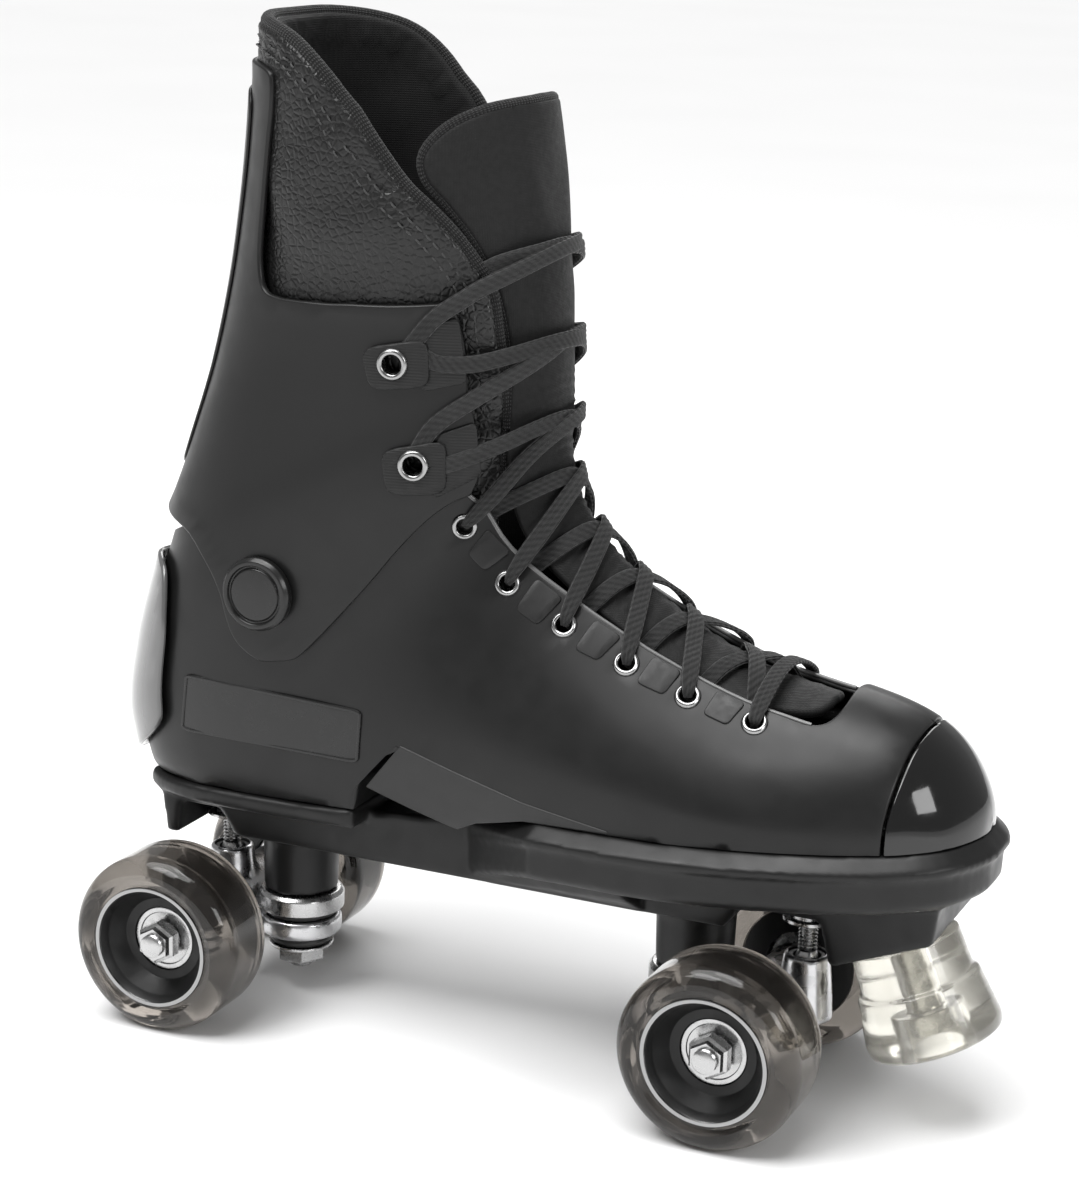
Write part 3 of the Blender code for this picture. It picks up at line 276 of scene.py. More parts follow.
def fill_outline(loops, spacing, rim_spacing, insets=(), extra=(), stretch=None):
    """Triangles inside flat loops, the outline and then its holes, with rows of points along the rim."""
    points, edges, rows = [], [], []
    for loop in loops:
        loop = np.array(loop, float)
        start = len(points)
        for a, b in zip(loop, np.roll(loop, -1, 0)):
            pieces = max(1, math.ceil(np.linalg.norm(b - a) / rim_spacing))
            points += [a + (b - a) * n / pieces for n in range(pieces)]
        ring = np.arange(start, len(points))
        edges += list(zip(ring, np.roll(ring, -1)))
        rows.append(ring)
    rim, edges = np.array(points), np.array(edges)
    for ring in rows:
        p = rim[ring]
        along = np.roll(p, -1, 0) - np.roll(p, 1, 0)
        inward = np.stack([-along[:, 1], along[:, 0]], 1) / np.linalg.norm(along, axis=1, keepdims=True)
        if not inside(p[:1] + inward[:1] * 0.01, rim, edges)[0]:
            inward = -inward
        scale = stretch(p, inward) if stretch else np.ones(len(p))
        for depth in insets:
            row = p + inward * (depth / scale)[:, None]
            gap = np.sqrt(((row[:, None] - rim[None]) ** 2).sum(-1)).min(1)
            row = row[inside(row, rim, edges) & (gap > 0.7 * depth / scale)]
            points += list(row)
    if len(extra):
        extra = np.array(extra)
        near = np.sqrt(((extra[:, None] - np.array(points)[None]) ** 2).sum(-1)).min(1)
        points += list(extra[inside(extra, rim, edges) & (near > 0.8)])
    taken = np.array(points)
    low, high = rim.min(0), rim.max(0)
    ys = np.arange(low[1], high[1], spacing * 0.87)
    lattice = np.array([(x + spacing / 2 * (row % 2), y) for row, y in enumerate(ys)
                        for x in np.arange(low[0], high[0], spacing)])
    lattice = lattice[inside(lattice, rim, edges)]
    near = np.concatenate([np.sqrt(((part[:, None] - taken[None]) ** 2).sum(-1)).min(1)
                           for part in np.array_split(lattice, max(1, len(lattice) // 500))])
    points += list(lattice[near > 0.6 * spacing])
    flat, _, faces, *_ = delaunay_2d_cdt([Vector(p) for p in points], edges.tolist(), [], 1, 1e-7)
    flat = np.array([tuple(p) for p in flat])
    faces = np.array(faces)
    keep = inside(flat[faces].mean(1), rim, edges)
    return flat, faces[keep], rim, edges


# ---------------------------------------------------------------- making objects

def mesh_of(name, points, faces):
    mesh = bpy.data.meshes.new(name)
    mesh.from_pydata([((x - ORIGIN_X) * MM, y * MM, z * MM) for x, y, z in points], [], faces)
    mesh.update()
    return mesh


def tidy(mesh, smooth_degrees=40):
    work = bmesh.new()
    work.from_mesh(mesh)
    bmesh.ops.remove_doubles(work, verts=work.verts, dist=1e-7)
    bmesh.ops.recalc_face_normals(work, faces=work.faces)
    work.to_mesh(mesh)
    work.free()
    mesh.shade_smooth()
    mesh.set_sharp_from_angle(angle=math.radians(smooth_degrees))
    return mesh


def add(name, mesh, colour, body, slot, *nodes):
    """Links a mesh as a piece of the skate and stands for CAD nodes; a body given by name carries the piece,
    and any other body leaves it where it is.

    Two colours are for the outside and the inside of a walled piece.
    """
    made = bpy.data.objects.new(name, mesh)
    bpy.context.collection.objects.link(made)
    layers = [face.material_index for face in mesh.polygons]
    mesh.materials.clear()
    colours = colour if isinstance(colour, list) else [colour]
    for each in colours:
        mesh.materials.append(each)
    for face, layer in zip(mesh.polygons, layers):
        face.material_index = min(layer, len(colours) - 1)
    if isinstance(body, str):
        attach(made, body)
    else:
        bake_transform(made)
    if nodes:
        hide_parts(*nodes)
    return made


def joined(name, meshes):
    """One mesh from several."""
    work = bmesh.new()
    for mesh in meshes:
        work.from_mesh(mesh)
    mesh = bpy.data.meshes.new(name)
    work.to_mesh(mesh)
    work.free()
    mesh.shade_smooth()
    mesh.set_sharp_from_angle(angle=math.radians(40))
    return mesh


def two_layers(name, layers, faces):
    """Closes an inner and an outer layer of the same triangles into a solid, joined where they wrap."""
    count = len(layers[0])
    seen = {}
    same = [seen.setdefault(tuple(np.round(point + 0.00037, 3)), k) for k, point in enumerate(layers[1])]
    faces = [[same[k] for k in face] for face in faces]
    faces = list({frozenset(face): face for face in faces if len(set(face)) == len(face)}.values())
    work = bmesh.new()
    work.from_mesh(mesh_of(name, np.concatenate(layers), []))
    verts = list(work.verts)
    for face in faces:
        work.faces.new([verts[k] for k in reversed(face)]).material_index = 1
        work.faces.new([verts[k + count] for k in face])
    work.verts.index_update()
    for edge in [e for e in work.edges if e.is_boundary]:
        i, j = (vert.index for vert in edge.verts)
        if i < count and j < count:
            work.faces.new([verts[i], verts[j], verts[j + count], verts[i + count]])
    bmesh.ops.delete(work, geom=[vert for vert in verts if not vert.link_faces], context="VERTS")
    mesh = bpy.data.meshes.new(name)
    work.to_mesh(mesh)
    work.free()
    return tidy(mesh, 50)


def rim_distance(points, rim, edges, wraps):
    """Distance in space from each point to the patch's real rim, leaving out where it joins itself."""
    a, b = rim[edges[:, 0]], rim[edges[:, 1]]
    real = ~wraps[edges[:, 0]] | ~wraps[edges[:, 1]]
    a, b = a[real], b[real]
    along = b - a
    size = np.maximum((along**2).sum(-1), 1e-12)
    nearest = np.full(len(points), 1e9)
    for part in np.array_split(np.arange(len(points)), max(1, len(points) // 400)):
        p = points[part]
        f = np.clip(((p[:, None] - a[None]) * along[None]).sum(-1) / size, 0, 1)
        nearest[part] = np.sqrt(((a[None] + along[None] * f[..., None] - p[:, None]) ** 2).sum(-1)).min(1)
    return nearest


def boot_patch(name, outline, offset, wall, spacing=3.5, holes=(), sole=SHELL_SOLE, floor=None, edge=0.7,
               edge_inside=None, full_turn=None):
    """A walled piece of the boot's surface inside an outline, with round holes and rounded edges.

    offset and wall are numbers or functions of (s, degrees, distance to the rim).
    full_turn gives the angles at which a piece that goes all the way round joins itself.
    """
    def stretch(p, direction):
        here = boot_surface(*from_flat(p[:, 0], p[:, 1]))
        there = boot_surface(*from_flat(*(p + direction * 0.5).T))
        return np.maximum(np.linalg.norm(there - here, axis=1) / 0.5, 0.2)

    loops = [list(zip(*to_flat(*np.array(outline, float).T)))]
    for s, degrees, radius in holes:
        a, b = to_flat(s, degrees)
        turn = np.linspace(0, 2 * math.pi, 25)[:-1]
        ways = np.stack([np.cos(turn), np.sin(turn)], 1)
        size = stretch(np.tile((a, b), (24, 1)), ways)
        loops.append([(a + x * radius / k, b + y * radius / k) for (x, y), k in zip(ways, size)])
    widest = max(edge, edge_inside or 0)
    insets = [widest * f for f in (0.12, 0.35, 0.65, 1.0)] if widest else []
    flat, faces, rim, edges = fill_outline(loops, spacing, min(spacing, 2.2), insets,
                                           sole_creases(sole), stretch)
    s, degrees = from_flat(flat[:, 0], flat[:, 1])
    rim_s, rim_v = from_flat(rim[:, 0], rim[:, 1])
    wraps = np.zeros(len(rim), bool)
    if full_turn is not None:
        wraps = (np.abs(rim_v - full_turn[0]) < 1e-6) | (np.abs(rim_v - full_turn[1]) < 1e-6) | (rim_s < 1e-6)
    depth = rim_distance(boot_surface(s, degrees), boot_surface(rim_s, rim_v), edges, wraps)
    lift = offset(s, degrees, depth) if callable(offset) else np.full(len(s), float(offset))
    thick = wall(s, degrees, depth) if callable(wall) else np.full(len(s), float(wall))
    drop = edge - np.sqrt(np.maximum(edge**2 - np.maximum(edge - depth, 0) ** 2, 0)) if edge else 0
    r = edge if edge_inside is None else edge_inside
    rise = r - np.sqrt(np.maximum(r**2 - np.maximum(r - depth, 0) ** 2, 0)) if r else 0
    inner_sole = floor or [(x, z + float(np.median(thick))) for x, z in sole]
    layers = [boot_surface(s, degrees, lift - thick + rise, inner_sole),
              boot_surface(s, degrees, lift - drop, sole)]
    return two_layers(name, layers, faces)


def sole_creases(sole):
    """Flat-map points along the lines across the arch where the sole changes slope."""
    found = []
    for x_crease, z_crease in sole[1:5]:
        degrees = np.arange(100, 261, 3.0)
        low, high = np.full(len(degrees), 8.0), np.full(len(degrees), 14.0)
        for _ in range(30):
            s = (low + high) / 2
            ahead = section_point(s, np.radians(degrees))[:, 0] > x_crease
            low, high = np.where(ahead, s, low), np.where(ahead, high, s)
        below = section_point(s, np.radians(degrees))[:, 2] < z_crease
        found += list(zip(*to_flat(s[below], degrees[below])))
    return found


def turned_points(profile, centre, axis, sides):
    axis = Vector(axis).normalized()
    across = Vector((0, 0, -1)) if abs(axis.z) < 0.5 else Vector((1, 0, 0))
    across = (across - axis * across.dot(axis)).normalized()
    other = axis.cross(across)
    return [Vector(centre) + axis * along + (across * math.cos(t) + other * math.sin(t)) * radius
            for along, radius in profile for t in (2 * math.pi * k / sides for k in range(sides))]


def turned(name, profile, centre, axis, sides=96, closed_ring=False, smooth=35):
    """A solid of revolution. profile is (along, radius) points; with closed_ring the profile is a loop."""
    points = turned_points(profile, centre, axis, sides)
    rows = len(profile)
    faces = []
    for r in range(rows if closed_ring else rows - 1):
        for k in range(sides):
            n = (k + 1) % sides
            faces.append((r * sides + k, r * sides + n, ((r + 1) % rows) * sides + n,
                          ((r + 1) % rows) * sides + k))
    if not closed_ring:
        faces.append(tuple(range(sides))[::-1])
        faces.append(tuple((rows - 1) * sides + k for k in range(sides)))
    return tidy(mesh_of(name, points, faces), smooth)


def soften(profile, radius=0.4, steps=3, closed=True):
    """Rounds the corners of a turned profile."""
    p = [Vector(q) for q in profile]
    count = len(p)
    out = []
    for k in range(count):
        if not closed and k in (0, count - 1):
            out.append(tuple(p[k]))
            continue
        before, here, after = p[k - 1], p[k], p[(k + 1) % count]
        cut = min(radius, 0.45 * (before - here).length, 0.45 * (after - here).length)
        start = here + (before - here).normalized() * cut
        end = here + (after - here).normalized() * cut
        for f in (n / steps for n in range(steps + 1)):
            out.append(tuple(start.lerp(here, f).lerp(here.lerp(end, f), f)))
    return out


def hull(name, points):
    work = bmesh.new()
    for x, y, z in points:
        work.verts.new(((x - ORIGIN_X) * MM, y * MM, z * MM))
    made = bmesh.ops.convex_hull(work, input=work.verts)
    spare = {v for v in made["geom_interior"] + made["geom_unused"] if isinstance(v, bmesh.types.BMVert)}
    bmesh.ops.delete(work, geom=list(spare), context="VERTS")
    mesh = bpy.data.meshes.new(name)
    work.to_mesh(mesh)
    work.free()
    return tidy(mesh)


def both_sides(points):
    return [(x, side * y, z) for x, y, z in points for side in (-1, 1)]


def side_block(name, outline, width, spacing=4.0):
    """A block with a side-view outline; width is its half-width, a number or a function of x and z."""
    flat, faces, _, _ = fill_outline([outline], spacing, 3.0)
    reach = [width(x, z) if callable(width) else width for x, z in flat]
    layers = [np.array([(x, side * w, z) for (x, z), w in zip(flat, reach)]) for side in (-1, 1)]
    return two_layers(name, layers, faces)


def moulded(name, meshes, cuts, voxel, smooth_times=6):
    """Overlapping closed meshes melted into one body with soft fillets, with closed meshes cut out."""
    made = bpy.data.objects.new(name, joined(name, meshes))
    bpy.context.collection.objects.link(made)
    melt = made.modifiers.new("melt", "REMESH")
    melt.mode = "VOXEL"
    melt.voxel_size = voxel * MM
    melt.use_smooth_shade = True
    if smooth_times:
        soft = made.modifiers.new("soften", "SMOOTH")
        soft.factor = 0.5
        soft.iterations = smooth_times
    tools = []
    for mesh in cuts:
        tool = bpy.data.objects.new("cutter", mesh)
        bpy.context.collection.objects.link(tool)
        tools.append(tool)
        cut = made.modifiers.new("cut", "BOOLEAN")
        cut.operation = "DIFFERENCE"
        cut.solver = "EXACT"
        cut.object = tool
    graph = bpy.context.evaluated_depsgraph_get()
    mesh = bpy.data.meshes.new_from_object(made.evaluated_get(graph))
    mesh.name = name
    for used in [made] + tools:
        bpy.data.objects.remove(used)
    mesh.shade_smooth()
    mesh.set_sharp_from_angle(angle=math.radians(45))
    return mesh


def swept(name, path, normals, section, scale=None, closed=False):
    """A section swept along a path. section is (across, up) points; UV runs along and round it."""
    path = [Vector(p) for p in path]
    count, sides = len(path), len(section)
    points, run = [], [0.0]
    for k, at in enumerate(path):
        after, before = path[(k + 1) % count], path[k - 1]
        if not closed:
            after, before = path[min(k + 1, count - 1)], path[max(k - 1, 0)]
        along = (after - before).normalized()
        up = Vector(normals[k])
        up = (up - along * up.dot(along)).normalized()
        across = along.cross(up)
        wide, high = scale[k] if scale else (1, 1)
        points += [at + across * x * wide + up * y * high for x, y in section]
        if k:
            run.append(run[-1] + (at - path[k - 1]).length)
    faces = []
    for k in range(count if closed else count - 1):
        for n in range(sides):
            m = (k + 1) % count
            faces.append((k * sides + n, k * sides + (n + 1) % sides, m * sides + (n + 1) % sides,
                          m * sides + n))
    if not closed:
        faces += [tuple(range(sides)), tuple(count * sides - 1 - n for n in range(sides))]
    mesh = mesh_of(name, points, faces)
    layer = mesh.uv_layers.new(name="run")
    for face in mesh.polygons:
        if len(face.vertices) != 4:
            continue
        k, n = divmod(face.index, sides)
        corners = [(k, n), (k, n + 1), (k + 1, n + 1), (k + 1, n)]
        for loop, (row, column) in zip(face.loop_indices, corners):
            length = run[row] if row < count else run[-1] + (path[0] - path[-1]).length
            layer.data[loop].uv = (length / 10, column / sides)
    work = bmesh.new()
    work.from_mesh(mesh)
    bmesh.ops.recalc_face_normals(work, faces=work.faces)
    work.to_mesh(mesh)
    work.free()
    mesh.shade_smooth()
    return mesh


def oval(width, height, count=16, squareness=3.0):
    """Points round a rounded bar's section."""
    out = []
    for t in (2 * math.pi * k / count for k in range(count)):
        c, s = math.cos(t), math.sin(t)
        out.append((width / 2 * math.copysign(abs(c) ** (2 / squareness), c),
                    height / 2 * math.copysign(abs(s) ** (2 / squareness), s)))
    return out


# ---------------------------------------------------------------- materials

class Look:
    """Builds one procedural material step by step."""

    def __init__(self, name, colour, roughness=0.5, metallic=0.0, **sockets):
        self.material = bpy.data.materials.new(name)
        self.material.use_nodes = True
        self.tree = self.material.node_tree
        self.shader = next(n for n in self.tree.nodes if n.type == "BSDF_PRINCIPLED")
        self.shader.inputs["Base Color"].default_value = (*colour, 1)
        self.shader.inputs["Roughness"].default_value = roughness
        self.shader.inputs["Metallic"].default_value = metallic
        for socket, value in sockets.items():
            self.shader.inputs[socket.replace("_", " ")].default_value = value
        self.place = self.node("ShaderNodeTexCoord").outputs["Object"]
        self.relief = None

    def node(self, kind, **settings):
        made = self.tree.nodes.new(kind)
        for key, value in settings.items():
            setattr(made, key, value)
        return made

    def link(self, source, target):
        self.tree.links.new(source, target)

    def noise(self, scale, detail=3.0, roughness=0.5, place=None):
        made = self.node("ShaderNodeTexNoise")
        made.inputs["Scale"].default_value = scale
        made.inputs["Detail"].default_value = detail
        made.inputs["Roughness"].default_value = roughness
        self.link(place or self.place, made.inputs["Vector"])
        return made.outputs["Fac"]

    def cells(self, scale, feature="F1", place=None):
        made = self.node("ShaderNodeTexVoronoi", feature=feature)
        made.inputs["Scale"].default_value = scale
        self.link(place or self.place, made.inputs["Vector"])
        return made.outputs["Distance"]

    def wave(self, scale, place, direction="X", distortion=0.0):
        made = self.node("ShaderNodeTexWave", bands_direction=direction)
        made.inputs["Scale"].default_value = scale
        made.inputs["Distortion"].default_value = distortion
        self.link(place, made.inputs["Vector"])
        return made.outputs["Fac"]

    def spread(self, value, low, high, to_low, to_high):
        made = self.node("ShaderNodeMapRange")
        for key, number in zip(("From Min", "From Max", "To Min", "To Max"), (low, high, to_low, to_high)):
            made.inputs[key].default_value = number
        self.link(value, made.inputs["Value"])
        return made.outputs["Result"]

    def math(self, operation, a, b):
        made = self.node("ShaderNodeMath", operation=operation)
        for socket, value in zip(made.inputs, (a, b)):
            if isinstance(value, (int, float)):
                socket.default_value = value
            else:
                self.link(value, socket)
        return made.outputs["Value"]

    def rough(self, value, low, high, start=0.3, end=0.7):
        self.link(self.spread(value, start, end, low, high), self.shader.inputs["Roughness"])
        return self

    def shade(self, value, dark, light, start=0.3, end=0.7):
        ramp = self.node("ShaderNodeValToRGB")
        ramp.color_ramp.elements[0].position, ramp.color_ramp.elements[1].position = start, end
        ramp.color_ramp.elements[0].color, ramp.color_ramp.elements[1].color = (*dark, 1), (*light, 1)
        self.link(value, ramp.inputs["Fac"])
        self.link(ramp.outputs["Color"], self.shader.inputs["Base Color"])
        return self

    def bump(self, value, depth, strength=1.0):
        """Adds relief of a depth in millimetres on top of what is there."""
        made = self.node("ShaderNodeBump")
        made.inputs["Distance"].default_value = depth * MM
        made.inputs["Strength"].default_value = strength
        self.link(value, made.inputs["Height"])
        if self.relief:
            self.link(self.relief, made.inputs["Normal"])
        self.relief = made.outputs["Normal"]
        self.link(self.relief, self.shader.inputs["Normal"])
        return self


def grey(value, tint=(1, 1, 1)):
    return tuple(value * t for t in tint)


def make_looks():
    looks = {}
    shell = Look("shell_plastic", grey(0.008), 0.36, Specular_IOR_Level=0.28, Coat_Weight=0.08,
                 Coat_Roughness=0.2)
    shell.rough(shell.noise(90, 4), 0.32, 0.44).bump(shell.noise(1800, 2), 0.012).bump(shell.noise(60, 3),
                                                                                       0.05)
    looks["shell"] = shell
    gloss = Look("gloss_cap", grey(0.004), 0.1, Specular_IOR_Level=0.4, Coat_Weight=0.5, Coat_Roughness=0.04)
    gloss.rough(gloss.noise(300, 3), 0.07, 0.14).bump(gloss.noise(70, 2), 0.04)
    looks["gloss"] = gloss
    bumper = Look("bumper_plastic", grey(0.09), 0.16, Coat_Weight=0.8, Coat_Roughness=0.08)
    bumper.rough(bumper.noise(250, 3), 0.13, 0.22).bump(bumper.noise(80, 2), 0.04)
    looks["bumper"] = bumper
    insert = Look("insert_plastic", grey(0.026), 0.5, Specular_IOR_Level=0.3)
    insert.rough(insert.noise(200, 3), 0.38, 0.5).bump(insert.noise(1500, 2), 0.02)
    looks["insert"] = insert
    pad = Look("pad_plastic", grey(0.012), 0.42, Specular_IOR_Level=0.35)
    pad.rough(pad.noise(400, 3), 0.35, 0.5).bump(pad.noise(1600, 2), 0.02)
    looks["pad"] = pad
    # painted highlight: this light grey stands for the sheen on the shell's rounded throat edge, on the cords
    # laid along it
    edge = Look("painted_edge_highlight", grey(0.1), 0.3, Coat_Weight=0.2)
    edge.rough(edge.noise(400, 3), 0.25, 0.38).bump(edge.noise(900, 2), 0.02)
    looks["edge"] = edge
    rivet = Look("rivet_plastic", grey(0.008), 0.28, Specular_IOR_Level=0.35, Coat_Weight=0.2,
                 Coat_Roughness=0.15)
    rivet.rough(rivet.noise(200, 3), 0.24, 0.36).bump(rivet.noise(900, 2), 0.015)
    looks["rivet"] = rivet
    leather = Look("liner_leather", grey(0.007), 0.3, Specular_IOR_Level=0.4)
    grain = leather.cells(420, "DISTANCE_TO_EDGE")
    leather.bump(leather.noise(45, 4), 0.5, 0.6).bump(leather.spread(grain, 0, 0.25, 0, 1), 0.16)
    leather.rough(leather.noise(700, 4), 0.26, 0.4)
    looks["leather"] = leather
    lining = Look("liner_fabric", grey(0.009), 0.85, Specular_IOR_Level=0.2, Sheen_Weight=0.05,
                  Sheen_Roughness=0.5)
    weave = lining.math("MULTIPLY", lining.wave(420, lining.place, "X"), lining.wave(420, lining.place, "Z"))
    lining.bump(weave, 0.15).bump(lining.noise(40, 3), 0.6, 0.5).rough(lining.noise(300, 3), 0.78, 0.92)
    looks["lining"] = lining
    tongue = Look("tongue_fabric", grey(0.008), 0.62, Specular_IOR_Level=0.25, Sheen_Weight=0.06,
                  Sheen_Roughness=0.4)
    weave = tongue.math("MULTIPLY", tongue.wave(650, tongue.place, "Y"), tongue.wave(650, tongue.place, "Z"))
    tongue.bump(tongue.noise(38, 4), 0.7, 0.6).bump(weave, 0.08).rough(tongue.noise(500, 3), 0.52, 0.7)
    looks["tongue"] = tongue
    knit = Look("knit_piping", grey(0.012), 0.8, Specular_IOR_Level=0.25, Sheen_Weight=0.1,
                Sheen_Roughness=0.4)
    turn = knit.node("ShaderNodeUVMap", uv_map="run").outputs["UV"]
    rows = knit.math("MULTIPLY", knit.wave(2.6, turn, "X"), knit.wave(6.0, turn, "Y"))
    knit.bump(rows, 0.5).shade(rows, grey(0.006), grey(0.035), 0.1, 0.9).rough(knit.noise(300), 0.7, 0.9)
    looks["knit"] = knit
    thread = Look("thread", grey(0.035), 0.6, Sheen_Weight=0.1)
    thread.bump(thread.noise(2500, 2), 0.05).rough(thread.noise(900), 0.5, 0.7)
    looks["thread"] = thread
    webbing = Look("tab_webbing", grey(0.009), 0.5, Specular_IOR_Level=0.35)
    webbing.bump(webbing.wave(330, webbing.place, "Z", 0.4), 0.06).bump(webbing.noise(900, 3), 0.05)
    webbing.rough(webbing.noise(300), 0.42, 0.6)
    looks["webbing"] = webbing
    lace = Look("lace_cord", grey(0.01), 0.6, Specular_IOR_Level=0.35, Sheen_Weight=0.1, Sheen_Roughness=0.35)
    turn = lace.node("ShaderNodeUVMap", uv_map="run").outputs["UV"]
    braid = lace.math("ADD", lace.wave(2.2, turn, "DIAGONAL"), lace.wave(11.0, turn, "Y"))
    lace.bump(braid, 0.3).shade(braid, grey(0.005), grey(0.03), 0.4, 1.6).rough(lace.noise(600), 0.55, 0.72)
    looks["lace"] = lace
    plate = Look("plate_plastic", grey(0.008), 0.4, Specular_IOR_Level=0.3, Coat_Weight=0.06,
                 Coat_Roughness=0.25)
    plate.rough(plate.noise(120, 4), 0.34, 0.5).bump(plate.noise(1500, 2), 0.02).bump(plate.noise(50, 3),
                                                                                      0.08)
    looks["plate"] = plate
    nickel = Look("nickel", grey(0.34), 0.18, 1.0)
    nickel.rough(nickel.noise(500, 4), 0.12, 0.26).bump(nickel.noise(300, 3), 0.02)
    looks["nickel"] = nickel
    steel = Look("hardware_steel", grey(0.5), 0.24, 1.0)
    steel.rough(steel.noise(400, 4), 0.18, 0.34).bump(steel.noise(600, 3), 0.03)
    looks["steel"] = steel
    zinc = Look("truck_metal", (0.56, 0.56, 0.57), 0.22, 1.0)
    zinc.rough(zinc.noise(160, 5), 0.16, 0.36).bump(zinc.noise(120, 4), 0.08)
    looks["zinc"] = zinc
    rubber = Look("cushion_rubber", grey(0.02), 0.42)
    rubber.rough(rubber.noise(300, 3), 0.36, 0.52).bump(rubber.noise(500, 3), 0.04)
    looks["rubber"] = rubber
    tyre = Look("tyre_urethane", (0.21, 0.19, 0.17), 0.05, Transmission_Weight=0.95, IOR=1.4)
    tyre.rough(tyre.noise(140, 4), 0.03, 0.1).bump(tyre.noise(90, 2), 0.02)
    looks["tyre"] = tyre
    hub = Look("hub_plastic", grey(0.007), 0.4, Specular_IOR_Level=0.35)
    hub.rough(hub.noise(200, 3), 0.34, 0.48).bump(hub.noise(900, 2), 0.02)
    looks["hub"] = hub
    clear = Look("stop_clear", (0.90, 0.88, 0.80), 0.12, Transmission_Weight=0.88, IOR=1.45,
                 Coat_Weight=0.2)
    clear.rough(clear.noise(160, 4), 0.08, 0.2).bump(clear.noise(120, 4), 0.05)
    looks["clear"] = clear
    paper = Look("floor_paper", grey(0.86), 0.75)
    paper.rough(paper.noise(3, 4), 0.7, 0.85).bump(paper.noise(400, 3), 0.02)
    looks["paper"] = paper
    return {key: look.material for key, look in looks.items()}


# ---------------------------------------------------------------- boot

def smoothed(*parts):
    """An outline from lists of points: smooth inside each list, cornered where two lists meet."""
    line = []
    for part in parts:
        part = curved(part) if len(part) > 2 else list(part)
        line += part if not line or np.abs(np.subtract(line[-1], part[0])).max() > 1e-9 else part[1:]
    return line


def shell_loop():
    """The shell's outline, round from the toe seam: throat, top line at the ankle and back."""
    seam = [(s + 0.06, v) for s, v in curved(TOE_LINE)]
    half = smoothed(THROAT, [THROAT[-1], SHELL_TOP[0]], SHELL_TOP)
    return mirrored(seam[:1] + half, 180) + [(s, 360 - v) for s, v in seam[1:-1]] + seam[:0:-1]


def inset_line(line, distance):
    """An open line on the boot moved sideways, to the left of its direction in the flat map."""
    a, b = to_flat(*np.array(line, float).T)
    p = np.stack([a, b], 1)
    along = np.gradient(p, axis=0)
    along /= np.linalg.norm(along, axis=1, keepdims=True)
    p += np.stack([-along[:, 1], along[:, 0]], 1) * distance
    return list(zip(*from_flat(p[:, 0], p[:, 1])))


def cord_along(name, line, lift, radius, height=None, count=12):
    """A round cord on the boot along a line of (section, degrees)."""
    lifts = [lift] * len(line) if isinstance(lift, (int, float)) else lift
    path = [boot_point(s, v, up) for (s, v), up in zip(line, lifts)]
    normals = [boot_normal(s, v) for s, v in line]
    return swept(name, path, normals, oval(2 * radius, 2 * (height or radius), count, 2.0))


def stitches(name, line, lifts, length=2.6, gap=1.2):
    """Separate thread stitches along a line on the boot, each at the surface's own height there."""
    points = [boot_point(s, v, up) for (s, v), up in zip(line, lifts)]
    run = np.concatenate([[0], np.cumsum([(b - a).length for a, b in zip(points, points[1:])])])
    ss, vs = np.array(line, float).T
    made = []
    for start in np.arange(0, run[-1] - length, length + gap):
        at = start + np.linspace(0, length, 5)
        heights = np.interp(at, run, lifts) + np.array([-0.45, 0.05, 0.2, 0.05, -0.45])
        piece = list(zip(np.interp(at, run, ss), np.interp(at, run, vs)))
        made.append(cord_along("stitch", piece, list(heights), 0.34, count=6))
    return joined(name, made)


def build_shell(looks):
    holes = [(s, v, SHELL_HOLE) for s, v in EYELETS] + [(s, 360 - v, SHELL_HOLE) for s, v in EYELETS]
    mesh = boot_patch("lower_shell", shell_loop(), 0.0, SHELL_WALL, holes=holes, full_turn=(0, 360), edge=0.9,
                      edge_inside=0.7)
    add("lower_shell_visual", mesh, looks["shell"], "chassis", "shell_plastic", "lower_shell")
    cap = mirrored([(0, 0)] + curved(TOE_LINE), 180)
    mesh = boot_patch("toe_cap", cap, 0.15, SHELL_WALL, full_turn=(0, 360), edge=0.9, edge_inside=0.5)
    add("toe_cap_visual", mesh, looks["gloss"], "chassis", "gloss_plastic_cap", "toe_cap")
    mesh = boot_patch("heel_bumper", mirrored(smoothed(BUMPER), 180), 3.6, 2.1, edge=1.3)
    add("heel_bumper_visual", mesh, looks["bumper"], "chassis", "bumper_plastic", "heel_bumper")
    mesh = side_block("arch_insert", ARCH_INSERT, lambda x, z: half_width(x, z) + 0.4, 3.0)
    insert = add("arch_insert_visual", mesh, looks["insert"], "chassis", "insert_plastic", "arch_insert")
    bevel(insert, 1.2)
    pads = [boot_patch("pad", rounded([(s, side * v) for s, v in pad]), 0.55, 0.9, edge=0.35)
            for pad in PADS for side in (1, -1)]
    add("lace_pads", joined("lace_pads", pads), looks["pad"], "chassis", "shell_plastic")
    corners = [boot_point(s, v, 0) for s, v in SIDE_PANEL]
    frame_line = rounded([(p.x, p.z) for p in corners], 0.06)
    panels = [side_patch(frame_line, side, 0.35) for side in (-1, 1)]
    panels += [swept("frame", [(x, side * (half_width(x, z) + 0.35), z) for x, z in frame_line],
                     [(0, side, 0)] * len(frame_line), oval(1.3, 1.0, 8, 2.0),
                     closed=True) for side in (-1, 1)]
    add("side_panels", joined("side_panels", panels), looks["rivet"], "chassis", "shell_plastic")
    # painted highlight: a light grey cord along each throat edge stands for the sheen on the shell's rounded
    # edge
    edges = [cord_along("edge", [(s, side * v) for s, v in curved(THROAT[3:])], -0.75, 0.8)
             for side in (1, -1)]
    add("throat_edge_highlights", joined("throat_edge_highlights", edges), looks["edge"], "chassis", "shell_plastic")
    rings = [eyelet(s, side * v, 0.0, 4.4, 2.5) for s, v in EYELETS for side in (1, -1)]
    add("eyelets", joined("eyelets", rings), looks["nickel"], "chassis", "hardware_steel")


